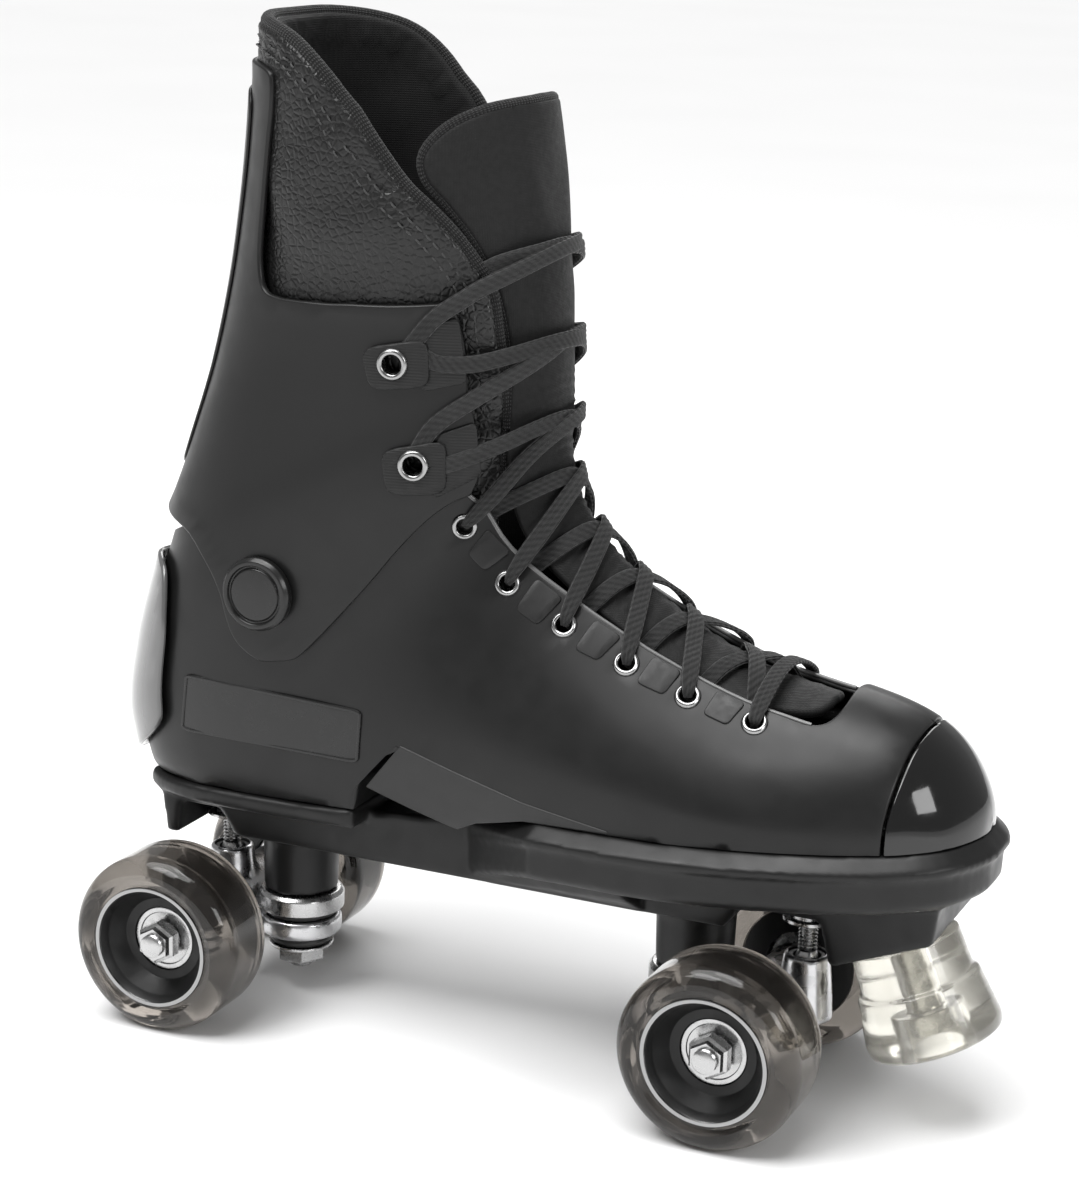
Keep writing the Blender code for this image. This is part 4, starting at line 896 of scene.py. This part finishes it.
def side_patch(outline, side, lift, spacing=3.0):
    """A thin plate on the boot's side inside a side-view outline."""
    flat, faces, _, _ = fill_outline([outline], spacing, 2.0)
    layers = [np.array([(x, side * (half_width(x, z) + up), z) for x, z in flat]) for up in (-0.8, lift)]
    return two_layers("patch", layers, faces)


def bevel(piece, width, segments=3):
    made = piece.modifiers.new("bevel", "BEVEL")
    made.width = width * MM
    made.segments = segments
    made.limit_method = "ANGLE"
    made.angle_limit = math.radians(40)
    piece.data.shade_smooth()
    return piece


def eyelet(s, degrees, lift, outer, hole, barrel=3.2):
    """A domed metal ring with a barrel through the wall."""
    profile = [(-barrel, hole), (0.5, hole), (0.95, hole + 0.35), (1.1, (outer + hole) / 2),
               (0.8, outer - 0.45), (0.05, outer), (-0.3, outer - 0.3), (-0.3, hole + 0.5),
               (-barrel, hole + 0.5)]
    centre = boot_point(s, degrees, lift)
    return turned("eyelet", soften(profile, 0.2), centre, boot_normal(s, degrees), 40, closed_ring=True)


def smooth_step(value, low, high):
    f = np.clip((value - low) / (high - low), 0, 1)
    return f * f * (3 - 2 * f)


def from_back(degrees):
    """Degrees measured from the ridge whichever side they are on."""
    return 180 - np.abs(180 - degrees % 360)


def liner_lift(s, degrees, depth):
    v = from_back(degrees)
    base = -4.3 + 3.9 * smooth_step(s, 16.4, 18.0)
    cuff_s, cuff_v = zip(*[(a, b) for b, a in CUFF_TOP + CUFF_SPINE[:3]])
    above = smooth_step(s - np.interp(v, cuff_s, cuff_v), 0.15, 1.3)
    front = smooth_step(np.interp(s, *zip(*CUFF_FRONT)) - v, 1.5, 6.0) * smooth_step(s, 14.8, 16.5)
    bulge = np.maximum(above, front)
    a, b = to_flat(s, v)
    pucker = np.sin((a + b * 0.8) * 0.9) * np.exp(-((depth - 6.5) / 3.2) ** 2)
    seam = np.exp(-((depth - 6.5) / 1.1) ** 2)
    return base + bulge * (2.4 + 0.7 * pucker - 1.1 * seam) + 0.25 * np.sin(a * 0.21 + b * 0.13) * bulge


def build_liner(looks):
    edge = curved(LINER_EDGE)
    wall = lambda s, degrees, depth: 5.0 + 3.0 * smooth_step(s, 16.4, 18.5)
    mesh = boot_patch("liner", mirrored([(0, 0)] + edge, 180), liner_lift, wall, 3.4, sole=LINER_SOLE,
                      floor=LINER_FLOOR, full_turn=(0, 360), edge=2.6, edge_inside=2.2)
    bend = ("chassis", "cuff_body", (-0.06, 0, 0.165), (-0.06, 0, 0.205))
    liner = add("liner_visual", mesh, [looks["leather"], looks["lining"]], bend, "liner_leather",
                "liner_foot", "liner_collar")
    rim = [p for p in edge if p[0] > 13.2 and p[1] > 32]
    whole = rim + [(s, 360 - v) for s, v in reversed(rim[:-1])]
    lifts = [float(liner_lift(np.array([s]), np.array([v]), np.array([0.0]))[0]) - 2.9 for s, v in whole]
    piping = cord_along("liner_piping", whole, lifts, 2.3, count=14)
    add("liner_piping", piping, looks["knit"], bend, "tongue_fabric")
    for number, distance in enumerate((5.4, 8.0)):
        line = [p for p in inset_line(whole, distance) if p[0] > 15.2][2:-2]
        heights = [float(liner_lift(np.array([s]), np.array([v]), np.array([distance]))[0]) for s, v in line]
        mesh = stitches("stitch", line, heights)
        add(f"liner_stitches_{number}", mesh, looks["thread"], bend, "liner_leather")


def tongue_lift(s, degrees, depth):
    a, b = to_flat(s, np.abs(degrees))
    base = -4.9 + 1.9 * smooth_step(s, 12.4, 15.0) + 1.2 * smooth_step(s, 20.5, 22.5)
    ribs = 0.35 * np.sin(a * 2 * math.pi / 7.5) * smooth_step(depth, 1, 5) * (1 - smooth_step(s, 14.5, 17.0))
    seam = -0.7 * np.exp(-((b - 16) / 1.3) ** 2) * smooth_step(s, 12.0, 14.0)
    folds = 0.4 * np.sin(a * 0.11 + np.cos(b * 0.2) * 1.5) * smooth_step(s, 17, 20)
    return base + ribs + seam + folds


def build_tongue(looks):
    outline = mirrored(curved(TONGUE))
    wall = lambda s, degrees, depth: 3.6 + 1.4 * smooth_step(s, 13, 16)
    mesh = boot_patch("tongue", outline, tongue_lift, wall, 3.2, edge=1.7, edge_inside=1.6)
    bend = ("chassis", "cuff_body", (0.0, 0, 0.185), (0.0, 0, 0.225))
    tongue = add("tongue_visual", mesh, looks["tongue"], bend, "tongue_fabric", "tongue_lower",
                 "tongue_upper")
    rim = [p for p in curved(TONGUE) if p[0] > 15]
    whole = rim + [(s, -v) for s, v in reversed(rim[:-1])]
    lifts = [float(tongue_lift(np.array([s]), np.array([v]), np.array([0.0]))[0]) - 2.3 for s, v in whole]
    add("tongue_piping", cord_along("tongue_piping", whole, lifts, 2.0, count=14), looks["knit"], bend,
        "tongue_fabric")


def build_cuff(looks):
    lower = smoothed(CUFF_BACK, CUFF_EAR, CUFF_FRONT, [CUFF_FRONT[-1]] + CUFF_TOP,
                     [CUFF_TOP[-1]] + CUFF_SPINE)
    spots = [tab["eyelet"] for tab in TABS.values()]
    holes = [(s, v, TAB_HOLE) for s, v in spots] + [(s, 360 - v, TAB_HOLE) for s, v in spots]

    def lift(s, degrees, depth):
        flare = 0.9 * np.exp(-((s - 16.9) / 0.6) ** 2) * smooth_step(from_back(degrees), 120, 160)
        return CUFF_OUTSIDE + flare + 0.35 * np.exp(-(depth / 2.5) ** 2)

    mesh = boot_patch("cuff", mirrored(lower, 180), lift, CUFF_WALL, holes=holes, edge=0.9, edge_inside=0.7)
    add("cuff_visual", mesh, looks["shell"], "cuff_body", "shell_plastic", "cuff")
    strip = curved([(17.7, 180), (17.75, 158), (18.6, 152), (20.5, 147), (22.0, 143), (22.6, 146),
                    (22.75, 180)])
    mesh = boot_patch("strip", mirrored(strip, 180), CUFF_OUTSIDE + 1.0, 1.2, edge=0.7)
    add("cuff_back_strip", mesh, looks["shell"], "cuff_body", "shell_plastic")
    for side, hand in ((1, "right"), (-1, "left")):
        for level, tab in TABS.items():
            (s, v) = tab["eyelet"]
            block = boot_patch("block", rounded([(a, side * b) for a, b in tab["block"]], 0.25),
                               CUFF_OUTSIDE + TAB_LIFT, 2.2, 3.0, holes=[(s, side * v, TAB_HOLE)], edge=0.8)
            flap = boot_patch("flap", rounded([(a, side * b) for a, b in tab["flap"]], 0.15),
                              CUFF_OUTSIDE + 1.7, 1.3, 3.0, edge=0.5)
            name = f"lace_tab_{hand}_{level}"
            add(name + "_visual", joined(name, [block, flap]), looks["webbing"], "cuff_body", "tab_webbing",
                name)
            add(name + "_eyelet", eyelet(s, side * v, CUFF_OUTSIDE + TAB_LIFT, 5.2, TAB_HOLE),
                looks["nickel"],
                "cuff_body", "hardware_steel")
    cap = [(36.9, 0.01), (36.9, 5.2), (45.6, 5.2), (45.6, 12.4), (47.7, 12.4), (49.1, 11.3), (49.1, 10.0),
           (48.0, 9.6), (48.0, 9.0), (48.7, 8.5), (48.7, 0.01)]
    for side, hand in ((-1, "right"), (1, "left")):
        name = f"ankle_rivet_{hand}"
        mesh = turned(name, soften(cap, 0.3, closed=False), (ANKLE_AXIS[0], 0, ANKLE_AXIS[1]), (0, side, 0))
        add(name + "_visual", mesh, looks["rivet"], "chassis", "rivet_plastic", name)


# ---------------------------------------------------------------- laces

LACE_WIDTH, LACE_THICK = 5.6, 1.7


def lace_section():
    """A flat braided lace's section with ribs along it."""
    top = [(x, LACE_THICK / 2 * (1 - 0.22 * abs(math.sin(x * math.pi / 1.6))))
           for x in np.linspace(LACE_WIDTH / 2 - 0.5, -LACE_WIDTH / 2 + 0.5, 17)]
    return top + [(-LACE_WIDTH / 2, 0)] + [(-x, -y) for x, y in top] + [(LACE_WIDTH / 2, 0)]


def lace_run(stops):
    """One run of lace through (section, degrees, height, width share) stops."""
    dense = np.array(curved(stops, 10))
    path = [boot_point(s, v, up) for s, v, up, _ in dense]
    normals = [boot_normal(s, v) for s, v, _, _ in dense]
    return swept("run", path, normals, lace_section(), [(w, 1) for w in dense[:, 3]])


def build_laces(looks):
    runs = []
    (s, v) = EYELETS[5]
    runs.append(lace_run([(s, v * f, h, w) for f, h, w in (
        (1, -1.2, 0.5), (0.97, 1.6, 0.8), (0.8, 1.5, 1), (0.4, 0.2, 1), (0, -0.6, 1), (-0.4, 0.2, 1),
        (-0.8, 1.5, 1), (-0.97, 1.6, 0.8), (-1, -1.2, 0.5))]))
    for k in range(5, 0, -1):
        for side, lift in ((1, -1.6), (-1, -3.3)):
            (s0, v0), (s1, v1) = EYELETS[k], EYELETS[k - 1]
            start = [(0, -3.6, 0.6), (0.1, -3.9, 1)] if k == 5 else [(0, -0.8, 0.5), (0.03, 1.6, 0.8),
                                                                      (0.1, 1.7, 1)]
            stops = start + [(0.27, -1.0, 1), (0.5, lift, 1), (0.75, -2.6, 1), (0.86, -3.8, 1),
                             (0.95, -4.0, 1),
                             (1, -3.9, 0.6)]
            runs.append(lace_run([(s0 + (s1 - s0) * f, side * (v0 - (v0 + v1) * f), h, w)
                                  for f, h, w in stops]))
    add("lace_lower_visual", joined("lace_lower", runs), looks["lace"], "chassis", "lace_cord", "lace_lower")
    links, upper = [], []
    outside = CUFF_OUTSIDE + 1.6
    for side, up in ((1, 0.9), (-1, -0.9)):
        links.append(lace_run([(s, side * v, h, w) for s, v, h, w in (
            (13.44, 47, -0.8, 0.5), (13.52, 44.5, 1.6, 0.8), (13.7, 38, 1.6, 1), (14.1, 24, -0.6, 1),
            (14.5, 0, -1.1 + up, 1), (14.85, -22, 0.4, 1), (15.05, -36, 3.6, 1),
            (15.2, -47, outside, 1), (15.35, -56, outside, 1))]))
        upper.append(lace_run([(s, side * v, h, w) for s, v, h, w in (
            (15.9, -60, outside, 1), (16.35, -56, outside, 1), (16.6, -47, outside, 1), (16.8, -36, 3.6, 1),
            (17.0, -18, 0.2, 1), (17.15, 0, -1.0 + up, 1), (17.3, 20, 0.3, 1), (17.5, 38, 3.8, 1),
            (17.65, 48, outside, 1), (17.95, 58, outside, 1), (18.3, 64, outside, 1))]))
        upper.append(lace_run([(s, side * v, h, w) for s, v, h, w in (
            (18.5, 68, outside, 1), (18.95, 62, outside + 0.2, 1), (19.2, 54, outside, 1), (19.4, 44, 4.0, 1),
            (19.6, 22, 0.2, 1), (19.75, 0, -0.9 + up, 1), (19.75, -22, -0.6, 1), (19.7, -38, -0.8, 1),
            (19.6, -46, -1.2, 1), (19.5, -54, -2.4, 1))]))
    bend = ("chassis", "cuff_body", (0.0, 0, 0.185), (0.0, 0, 0.215))
    add("lace_link", joined("lace_link", links), looks["lace"], bend, "lace_cord")
    add("lace_upper_visual", joined("lace_upper", upper), looks["lace"], "cuff_body", "lace_cord",
        "lace_upper")


# ---------------------------------------------------------------- plate

def sole_ring(offset, drop, heel=False, steps=28):
    """A level-by-level ring round the sole outline, offset outwards and lowered from the sole line."""
    x_sole, z_sole = zip(*SHELL_SOLE)
    turn = np.sin(np.linspace(0, math.pi / 2, steps))
    xs = -36 - 85.5 * turn if heel else 34 + 137 * turn
    side = [(x, half_width(x, np.interp(x, x_sole, z_sole))) for x in xs]
    side[-1] = (side[-1][0], 0.0)
    if not heel:
        side.insert(0, (TRAY_REAR[0], 20.0))
    ring = []
    for k, (x, y) in enumerate(side):
        before, after = side[max(k - 1, 0)], side[min(k + 1, len(side) - 1)]
        along = Vector((after[0] - before[0], after[1] - before[1])).normalized()
        if k == len(side) - 1:
            along = Vector((0, -1))
        outward = Vector((along.y, -along.x)) if heel else Vector((-along.y, along.x))
        reach = 0.0 if k == 0 else offset
        height = np.interp(x, x_sole, z_sole) if heel or x >= 34 else TRAY_REAR[1]
        ring.append((x + outward.x * reach, max(y + outward.y * reach, 0.0), float(height) - drop))
    return [(x, -y, z) for x, y, z in ring] + [(x, y, z) for x, y, z in reversed(ring[:-1])]


def loft(name, rings):
    """A closed solid through rings of equal length."""
    count = len(rings[0])
    points = [p for ring in rings for p in ring]
    faces = []
    for r in range(len(rings) - 1):
        for k in range(count):
            n = (k + 1) % count
            faces.append((r * count + k, r * count + n, (r + 1) * count + n, (r + 1) * count + k))
    for base in (0, (len(rings) - 1) * count):
        faces += [(base + k, base + k + 1, base + count - 2 - k, base + count - 1 - k)
                  for k in range((count - 1) // 2)]
    return tidy(mesh_of(name, points, faces))


def truck_places():
    places = {}
    for end, out in (("front", 1), ("rear", -1)):
        axle = out * WHEELBASE / 2
        places[end] = {"end": end, "out": out, "axle": axle, "kingpin": axle - out * KINGPIN_INBOARD,
                       "pivot": axle + out * PIVOT_OUTBOARD[end]}
    return places


def build_plate(looks, trucks):
    spine = [(-118, 78), (-115, 59), (-110.5, 59), (-109.5, 71), (-94, 71), (-88, SPINE_BOTTOM),
             (92, SPINE_BOTTOM), (98, 70), (124, 70), (128, 55), (161, 68.3), (163, 84), (34, 86),
             (4, 83), (-30, 80.5), (-60, 79)]
    body = [side_block("spine", spine, 24.0),
            loft("tray", [sole_ring(0, 0.3), sole_ring(5.2, 4.8), sole_ring(5.2, 6.6), sole_ring(3.4, 7.6),
                          sole_ring(3.0, 17), sole_ring(0.5, 19.5)]),
            loft("heel", [sole_ring(0, 0.3, True), sole_ring(1.6, 1.2, True), sole_ring(1.6, 5.5, True),
                          sole_ring(0.2, 6.6, True), sole_ring(-2.5, 7.5, True)]),
            hull("flank", both_sides([(0, 22, 62.4), (64, 23, 62.4), (2, 22, 83), (30, 40, 84), (64, 46, 82),
                                      (30, 30, 70), (64, 40, 72)]))]
    cuts = []
    for truck in trucks.values():
        centre = (truck["kingpin"], 0, 0)
        body.append(turned("boss", [(38.8, 13.0), (56, 13.4), (64, 15.5), (73, 17.0)], centre, (0, 0, 1), 64))
        cuts.append(turned("stud", [(60, 3.4), (77, 3.4)], (truck["pivot"], 0, 0), (0, 0, 1), 32))
    mesh = moulded("baseplate", body, cuts, 1.15, 5)
    add("baseplate_visual", mesh, looks["plate"], "chassis", "plate_plastic", "baseplate")
    down = (math.sin(TOE_STOP_TILT), 0, -math.cos(TOE_STOP_TILT))
    stop = [(0.3, 18.0), (14, 18.8), (15.4, 20.4), (31.5, 22.7), (34.8, 22.0), (36, 19.6), (36, 8.5),
            (24, 8.5),
            (24, 4.4), (0.3, 4.4)]
    mesh = turned("toe_stop", soften(stop, 1.0), TOE_STOP_TOP, down, 128, closed_ring=True)
    add("toe_stop_visual", mesh, looks["clear"], "chassis", "stop_clear", "toe_stop")
    bolt = [(-15, 0.01), (-15, 4.0), (24.3, 4.0), (24.3, 7.6), (31, 7.6), (31, 4.4), (28, 4.2), (28, 0.01)]
    mesh = turned("toe_stop_bolt", soften(bolt, 0.4, closed=False), TOE_STOP_TOP, down, 64)
    add("toe_stop_bolt_visual", mesh, looks["steel"], "chassis", "hardware_steel", "toe_stop_bolt")


# ---------------------------------------------------------------- trucks and wheels

def threaded(start, end, radius, pitch=1.25):
    """A profile with ridges like a thread's."""
    rows = []
    for z in np.arange(start, end, pitch):
        rows += [(z, radius), (z + pitch * 0.5, radius - 0.5)]
    return rows


def build_truck(truck, looks):
    end, axle, kingpin, pivot, out = (truck[k] for k in ("end", "axle", "kingpin", "pivot", "out"))
    swivel = f"{end}_truck"
    up, across = (0, 0, 1), (0, 1, 0)
    body = [turned("beam", [(-29.2, 8.6), (-26, 9.4), (26, 9.4), (29.2, 8.6)], (axle, 0, WHEEL_RADIUS),
                   across, 48),
            turned("ring", [(22, 13.6), (23, 14.4), (28, 14.4), (29, 13.6)], (kingpin, 0, 0), up, 64),
            hull("yoke", both_sides([(kingpin + out * 12, 8, 22.6), (kingpin + out * 12, 8, 28.3),
                                     (axle, 19, 23.5),
                                     (axle - out * 4, 17, 35), (axle + out * 3, 19, 30)])),
            turned("nose", [(27, 9.5), (40, 8.6), (49.5, 7.6)], (pivot, 0, 0), up, 48),
            hull("brace", both_sides([(pivot, 5, 28), (pivot, 5, 42), (axle - out * 7, 8, 31),
                                      (axle - out * 3, 7, 39)]))]
    cuts = [turned("ring_hole", [(18, 7.2), (38, 7.2)], (kingpin, 0, 0), up, 48),
            turned("socket", [(40.8, 6.4), (59, 6.4)], (pivot, 0, 0), up, 48)]
    add(f"{end}_hanger_visual", moulded("hanger", body, cuts, 0.8, 8), looks["zinc"], swivel, "truck_metal",
        f"{end}_hanger")
    rod = ([(-AXLE_TIP, 0.01), (-AXLE_TIP, 3.2)] + threaded(-AXLE_TIP + 0.5, -50, 4.0) + [(-50, 4.0),
                                                                                          (50, 4.0)]
           + [(-a, r) for a, r in reversed(threaded(-AXLE_TIP + 0.5, -50, 4.0))] + [(AXLE_TIP, 3.2),
                                                                                    (AXLE_TIP, 0.01)])
    add(f"{end}_axle_visual", turned("axle", rod, (axle, 0, WHEEL_RADIUS), across, 48), looks["steel"],
        swivel,
        "hardware_steel", f"{end}_axle")
    cup = [(41.1, 6.1), (48.5, 6.1), (48.5, 4.6), (42.3, 4.6), (42.3, 2.0), (41.1, 2.0)]
    add(f"{end}_pivot_cup_visual", turned("cup", soften(cup, 0.3), (pivot, 0, 0), up, 64, closed_ring=True),
        looks["rubber"], swivel, "cushion_rubber", f"{end}_pivot_cup")
    tip = [(PIVOT_HEIGHT + 4.1 * math.sin(a), 4.1 * math.cos(a)) for a in np.radians([-89, -70, -50, -30, 0,
                                                                                      25])]
    pin = tip + [(50.2, 3.0)] + threaded(51, 60, 3.2) + [(61, 3.2), (61, 8.6), (62, 8.6), (62.2, 6.4),
                                                         (67, 5.6),
                                                        (67, 3.0), (75, 3.0), (75, 0.01)]
    add(f"{end}_pivot_pin_visual", turned("pin", pin, (pivot, 0, 0), up, 48), looks["steel"], "chassis",
        "hardware_steel", f"{end}_pivot_pin")
    hole = 4.8
    turned_parts = {
        "kingpin": ([(9, 0.01), (9, 3.8)] + threaded(9.6, 17, 4.5) + [(17, 4.5), (60, 4.5), (60, 0.01)],
                    "steel", 48, False),
        "kingpin_nut": ([(11.5, 0.01), (11.5, 8.0), (12.2, 8.8), (16.2, 8.8), (16.8, 8.2), (16.8, 0.01)],
                        "steel", 6,
                        False),
        "retainer_lower": ([(17.1, hole), (17.1, 11.5), (18.3, 11.5), (18.3, hole)], "steel", 96, True),
        "cushion_lower": ([(18.6, hole), (18.6, 10.5), (20.1, 11.4), (21.7, 10.5), (21.7, hole)], "rubber",
                          96,
                          True),
        "cushion_upper": ([(29.3, hole), (29.3, 12.6), (31.0, 13.4), (34.4, 13.4), (36.9, 12.4),
                           (36.9, hole)],
                          "rubber", 96, True),
        "retainer_upper": ([(37.2, hole), (37.2, 13.7), (31.6, 13.7), (31.6, 15.2), (37.0, 15.2),
                            (38.5, 14.0),
                            (38.5, hole)], "steel", 96, True)}
    slots = {"steel": "hardware_steel", "rubber": "cushion_rubber"}
    for part, (profile, colour, sides, ring) in turned_parts.items():
        rounded_profile = profile if part == "kingpin" else soften(profile, 0.35, closed=ring)
        mesh = turned(part, rounded_profile, (kingpin, 0, 0), up, sides, closed_ring=ring)
        add(f"{end}_{part}_visual", mesh, looks[colour], "chassis", slots[colour], f"{end}_{part}")


def build_wheel(end, side, axle, looks):
    """Profiles run outwards along the axle from the skate's centre line."""
    hand = "right" if side < 0 else "left"
    inner, outer, full = WHEEL_INNER_FACE, WHEEL_INNER_FACE + WHEEL_WIDTH, WHEEL_RADIUS
    shoulder = [(outer - 6.4 + 6.4 * math.sin(t), full - 6.4 * (1 - math.cos(t)))
                for t in np.radians(range(0, 91, 10))]
    back = [(2 * inner + WHEEL_WIDTH - a, r) for a, r in reversed(shoulder)]
    tyre = ([(inner, 20.0)] + back + shoulder + [(outer, 24.0), (outer - 0.8, 22.2), (outer - 0.8, 21.3),
                                                 (outer - 14, 21.3), (outer - 16, 20.0)])
    hub = [(inner + 0.6, 12.4), (inner + 0.6, 19.7), (outer - 15.4, 19.7), (outer - 13.6, 21.0),
           (outer - 1.0, 21.0), (outer - 1.0, 19.6), (outer - 4.2, 18.4), (50.3, 14.6), (50.3, 11.3),
           (42.6, 11.3), (42.6, 8.0), (40.9, 8.0), (40.9, 11.3), (inner + 0.6, 11.3)]
    lip = [(outer - 1.4, 19.7), (outer - 0.5, 19.9), (outer - 0.3, 20.6), (outer - 0.5, 21.2),
           (outer - 1.4, 21.0)]
    centre, axis = (axle, 0, WHEEL_RADIUS), (0, side, 0)
    spin = f"{end}_{hand}_wheel"
    start = BEARING_FACES[1] + BEARING_WIDTH + 0.5
    add(f"{spin}_tyre", turned("tyre", soften(tyre, 0.3, 2), centre, axis, 128, closed_ring=True),
        looks["tyre"],
        spin, "tyre_urethane", f"{end}_{hand}_tyre")
    add(f"{spin}_hub", turned("hub", soften(hub, 0.35, 2), centre, axis, 96, closed_ring=True), looks["hub"],
        spin,
        "hub_plastic", f"{end}_{hand}_hub")
    add(f"{spin}_lip", turned("lip", lip, centre, axis, 128, closed_ring=True), looks["nickel"], spin,
        "hardware_steel")
    for part, base in (("inboard", BEARING_FACES[0]), ("outboard", BEARING_FACES[1])):
        race = [(base, 4.1), (base, 5.6), (base + 0.5, 5.8), (base + 0.5, 9.2), (base, 9.4), (base, 11.0),
                (base + 7, 11.0), (base + 7, 9.4), (base + 6.4, 9.2), (base + 6.4, 5.8), (base + 7, 5.6),
                (base + 7, 4.1)]
        add(f"{spin}_bearing_{part}", turned("bearing", soften(race, 0.15, 2), centre, axis, 96,
                                             closed_ring=True),
            looks["steel"], spin, "hardware_steel", f"{end}_{hand}_bearing_{part}")
    nut = [(start, 4.2), (start, 6.6), (start + 0.8, 7.4), (start + 4.6, 7.4), (start + 5.2, 6.2),
           (start + 7, 5.8),
           (start + 7, 4.2)]
    mesh = turned("nut", nut, centre, axis, 6, closed_ring=True, smooth=20)
    add(f"{end}_{hand}_axle_nut_visual", mesh, looks["steel"], f"{end}_truck", "hardware_steel",
        f"{end}_{hand}_axle_nut")


# ---------------------------------------------------------------- stage and camera

def build_stage(looks):
    mesh = bpy.data.meshes.new("floor")
    mesh.from_pydata([(x * FLOOR_HALF, y * FLOOR_HALF, 0) for x, y in ((-1, -1), (1, -1), (1, 1), (-1, 1))],
                     [], [(0, 1, 2, 3)])
    mesh.materials.append(looks["paper"])
    floor = bpy.data.objects.new("floor", mesh)
    bpy.context.collection.objects.link(floor)
    world = bpy.data.worlds.new("studio")
    world.use_nodes = True
    background = world.node_tree.nodes["Background"]
    background.inputs["Color"].default_value = (1, 1, 1, 1)
    background.inputs["Strength"].default_value = 0.3
    bpy.context.scene.world = world
    bpy.context.scene.view_settings.view_transform = "Standard"
    sun = bpy.data.lights.new("sun", "SUN")
    sun.energy, sun.angle = 2.8, math.radians(50)
    overhead = bpy.data.objects.new("sun", sun)
    overhead.rotation_euler = (math.radians(14), math.radians(-10), 0)
    bpy.context.collection.objects.link(overhead)
    for name, place, width, power in (("key", (-0.5, -0.9, 1.3), 0.7, 9), ("front", (1.2, -0.5, 0.7), 0.5, 5),
                                      ("back", (-0.3, 1.2, 1.0), 0.9, 7), ("top", (0.1, 0.0, 1.6), 0.7, 6)):
        light = bpy.data.lights.new(name, "AREA")
        light.size, light.energy = width, power
        lamp = bpy.data.objects.new(name, light)
        lamp.location = place
        lamp.rotation_euler = (Vector((0, 0, 0.15)) - Vector(place)).to_track_quat("-Z", "Y").to_euler()
        bpy.context.collection.objects.link(lamp)


def build_camera():
    a, e, roll = (math.radians(CAMERA[key]) for key in ("azimuth", "elevation", "roll"))
    back = Vector((math.sin(a) * math.cos(e), -math.cos(a) * math.cos(e), math.sin(e)))
    right = Vector((math.cos(a), math.sin(a), 0))
    up = back.cross(right)
    across = right * math.cos(roll) + up * math.sin(roll)
    above = up * math.cos(roll) - right * math.sin(roll)
    lens = bpy.data.cameras.new("camera")
    lens.lens, lens.sensor_width = CAMERA["lens"], 36.0
    camera = bpy.data.objects.new("camera", lens)
    x, y, z = CAMERA["target"]
    place = Vector((x - ORIGIN_X, y, z)) * MM + back * CAMERA["distance"] * MM
    turn = Matrix((across, above, back)).transposed().to_4x4()
    camera.matrix_world = Matrix.Translation(place) @ turn
    bpy.context.collection.objects.link(camera)
    bpy.context.scene.camera = camera


looks = make_looks()
trucks = truck_places()
build_shell(looks)
build_liner(looks)
build_tongue(looks)
build_cuff(looks)
build_laces(looks)
build_plate(looks, trucks)
for truck in trucks.values():
    build_truck(truck, looks)
    for side in (-1, 1):
        build_wheel(truck["end"], side, truck["axle"], looks)
build_stage(looks)
build_camera()
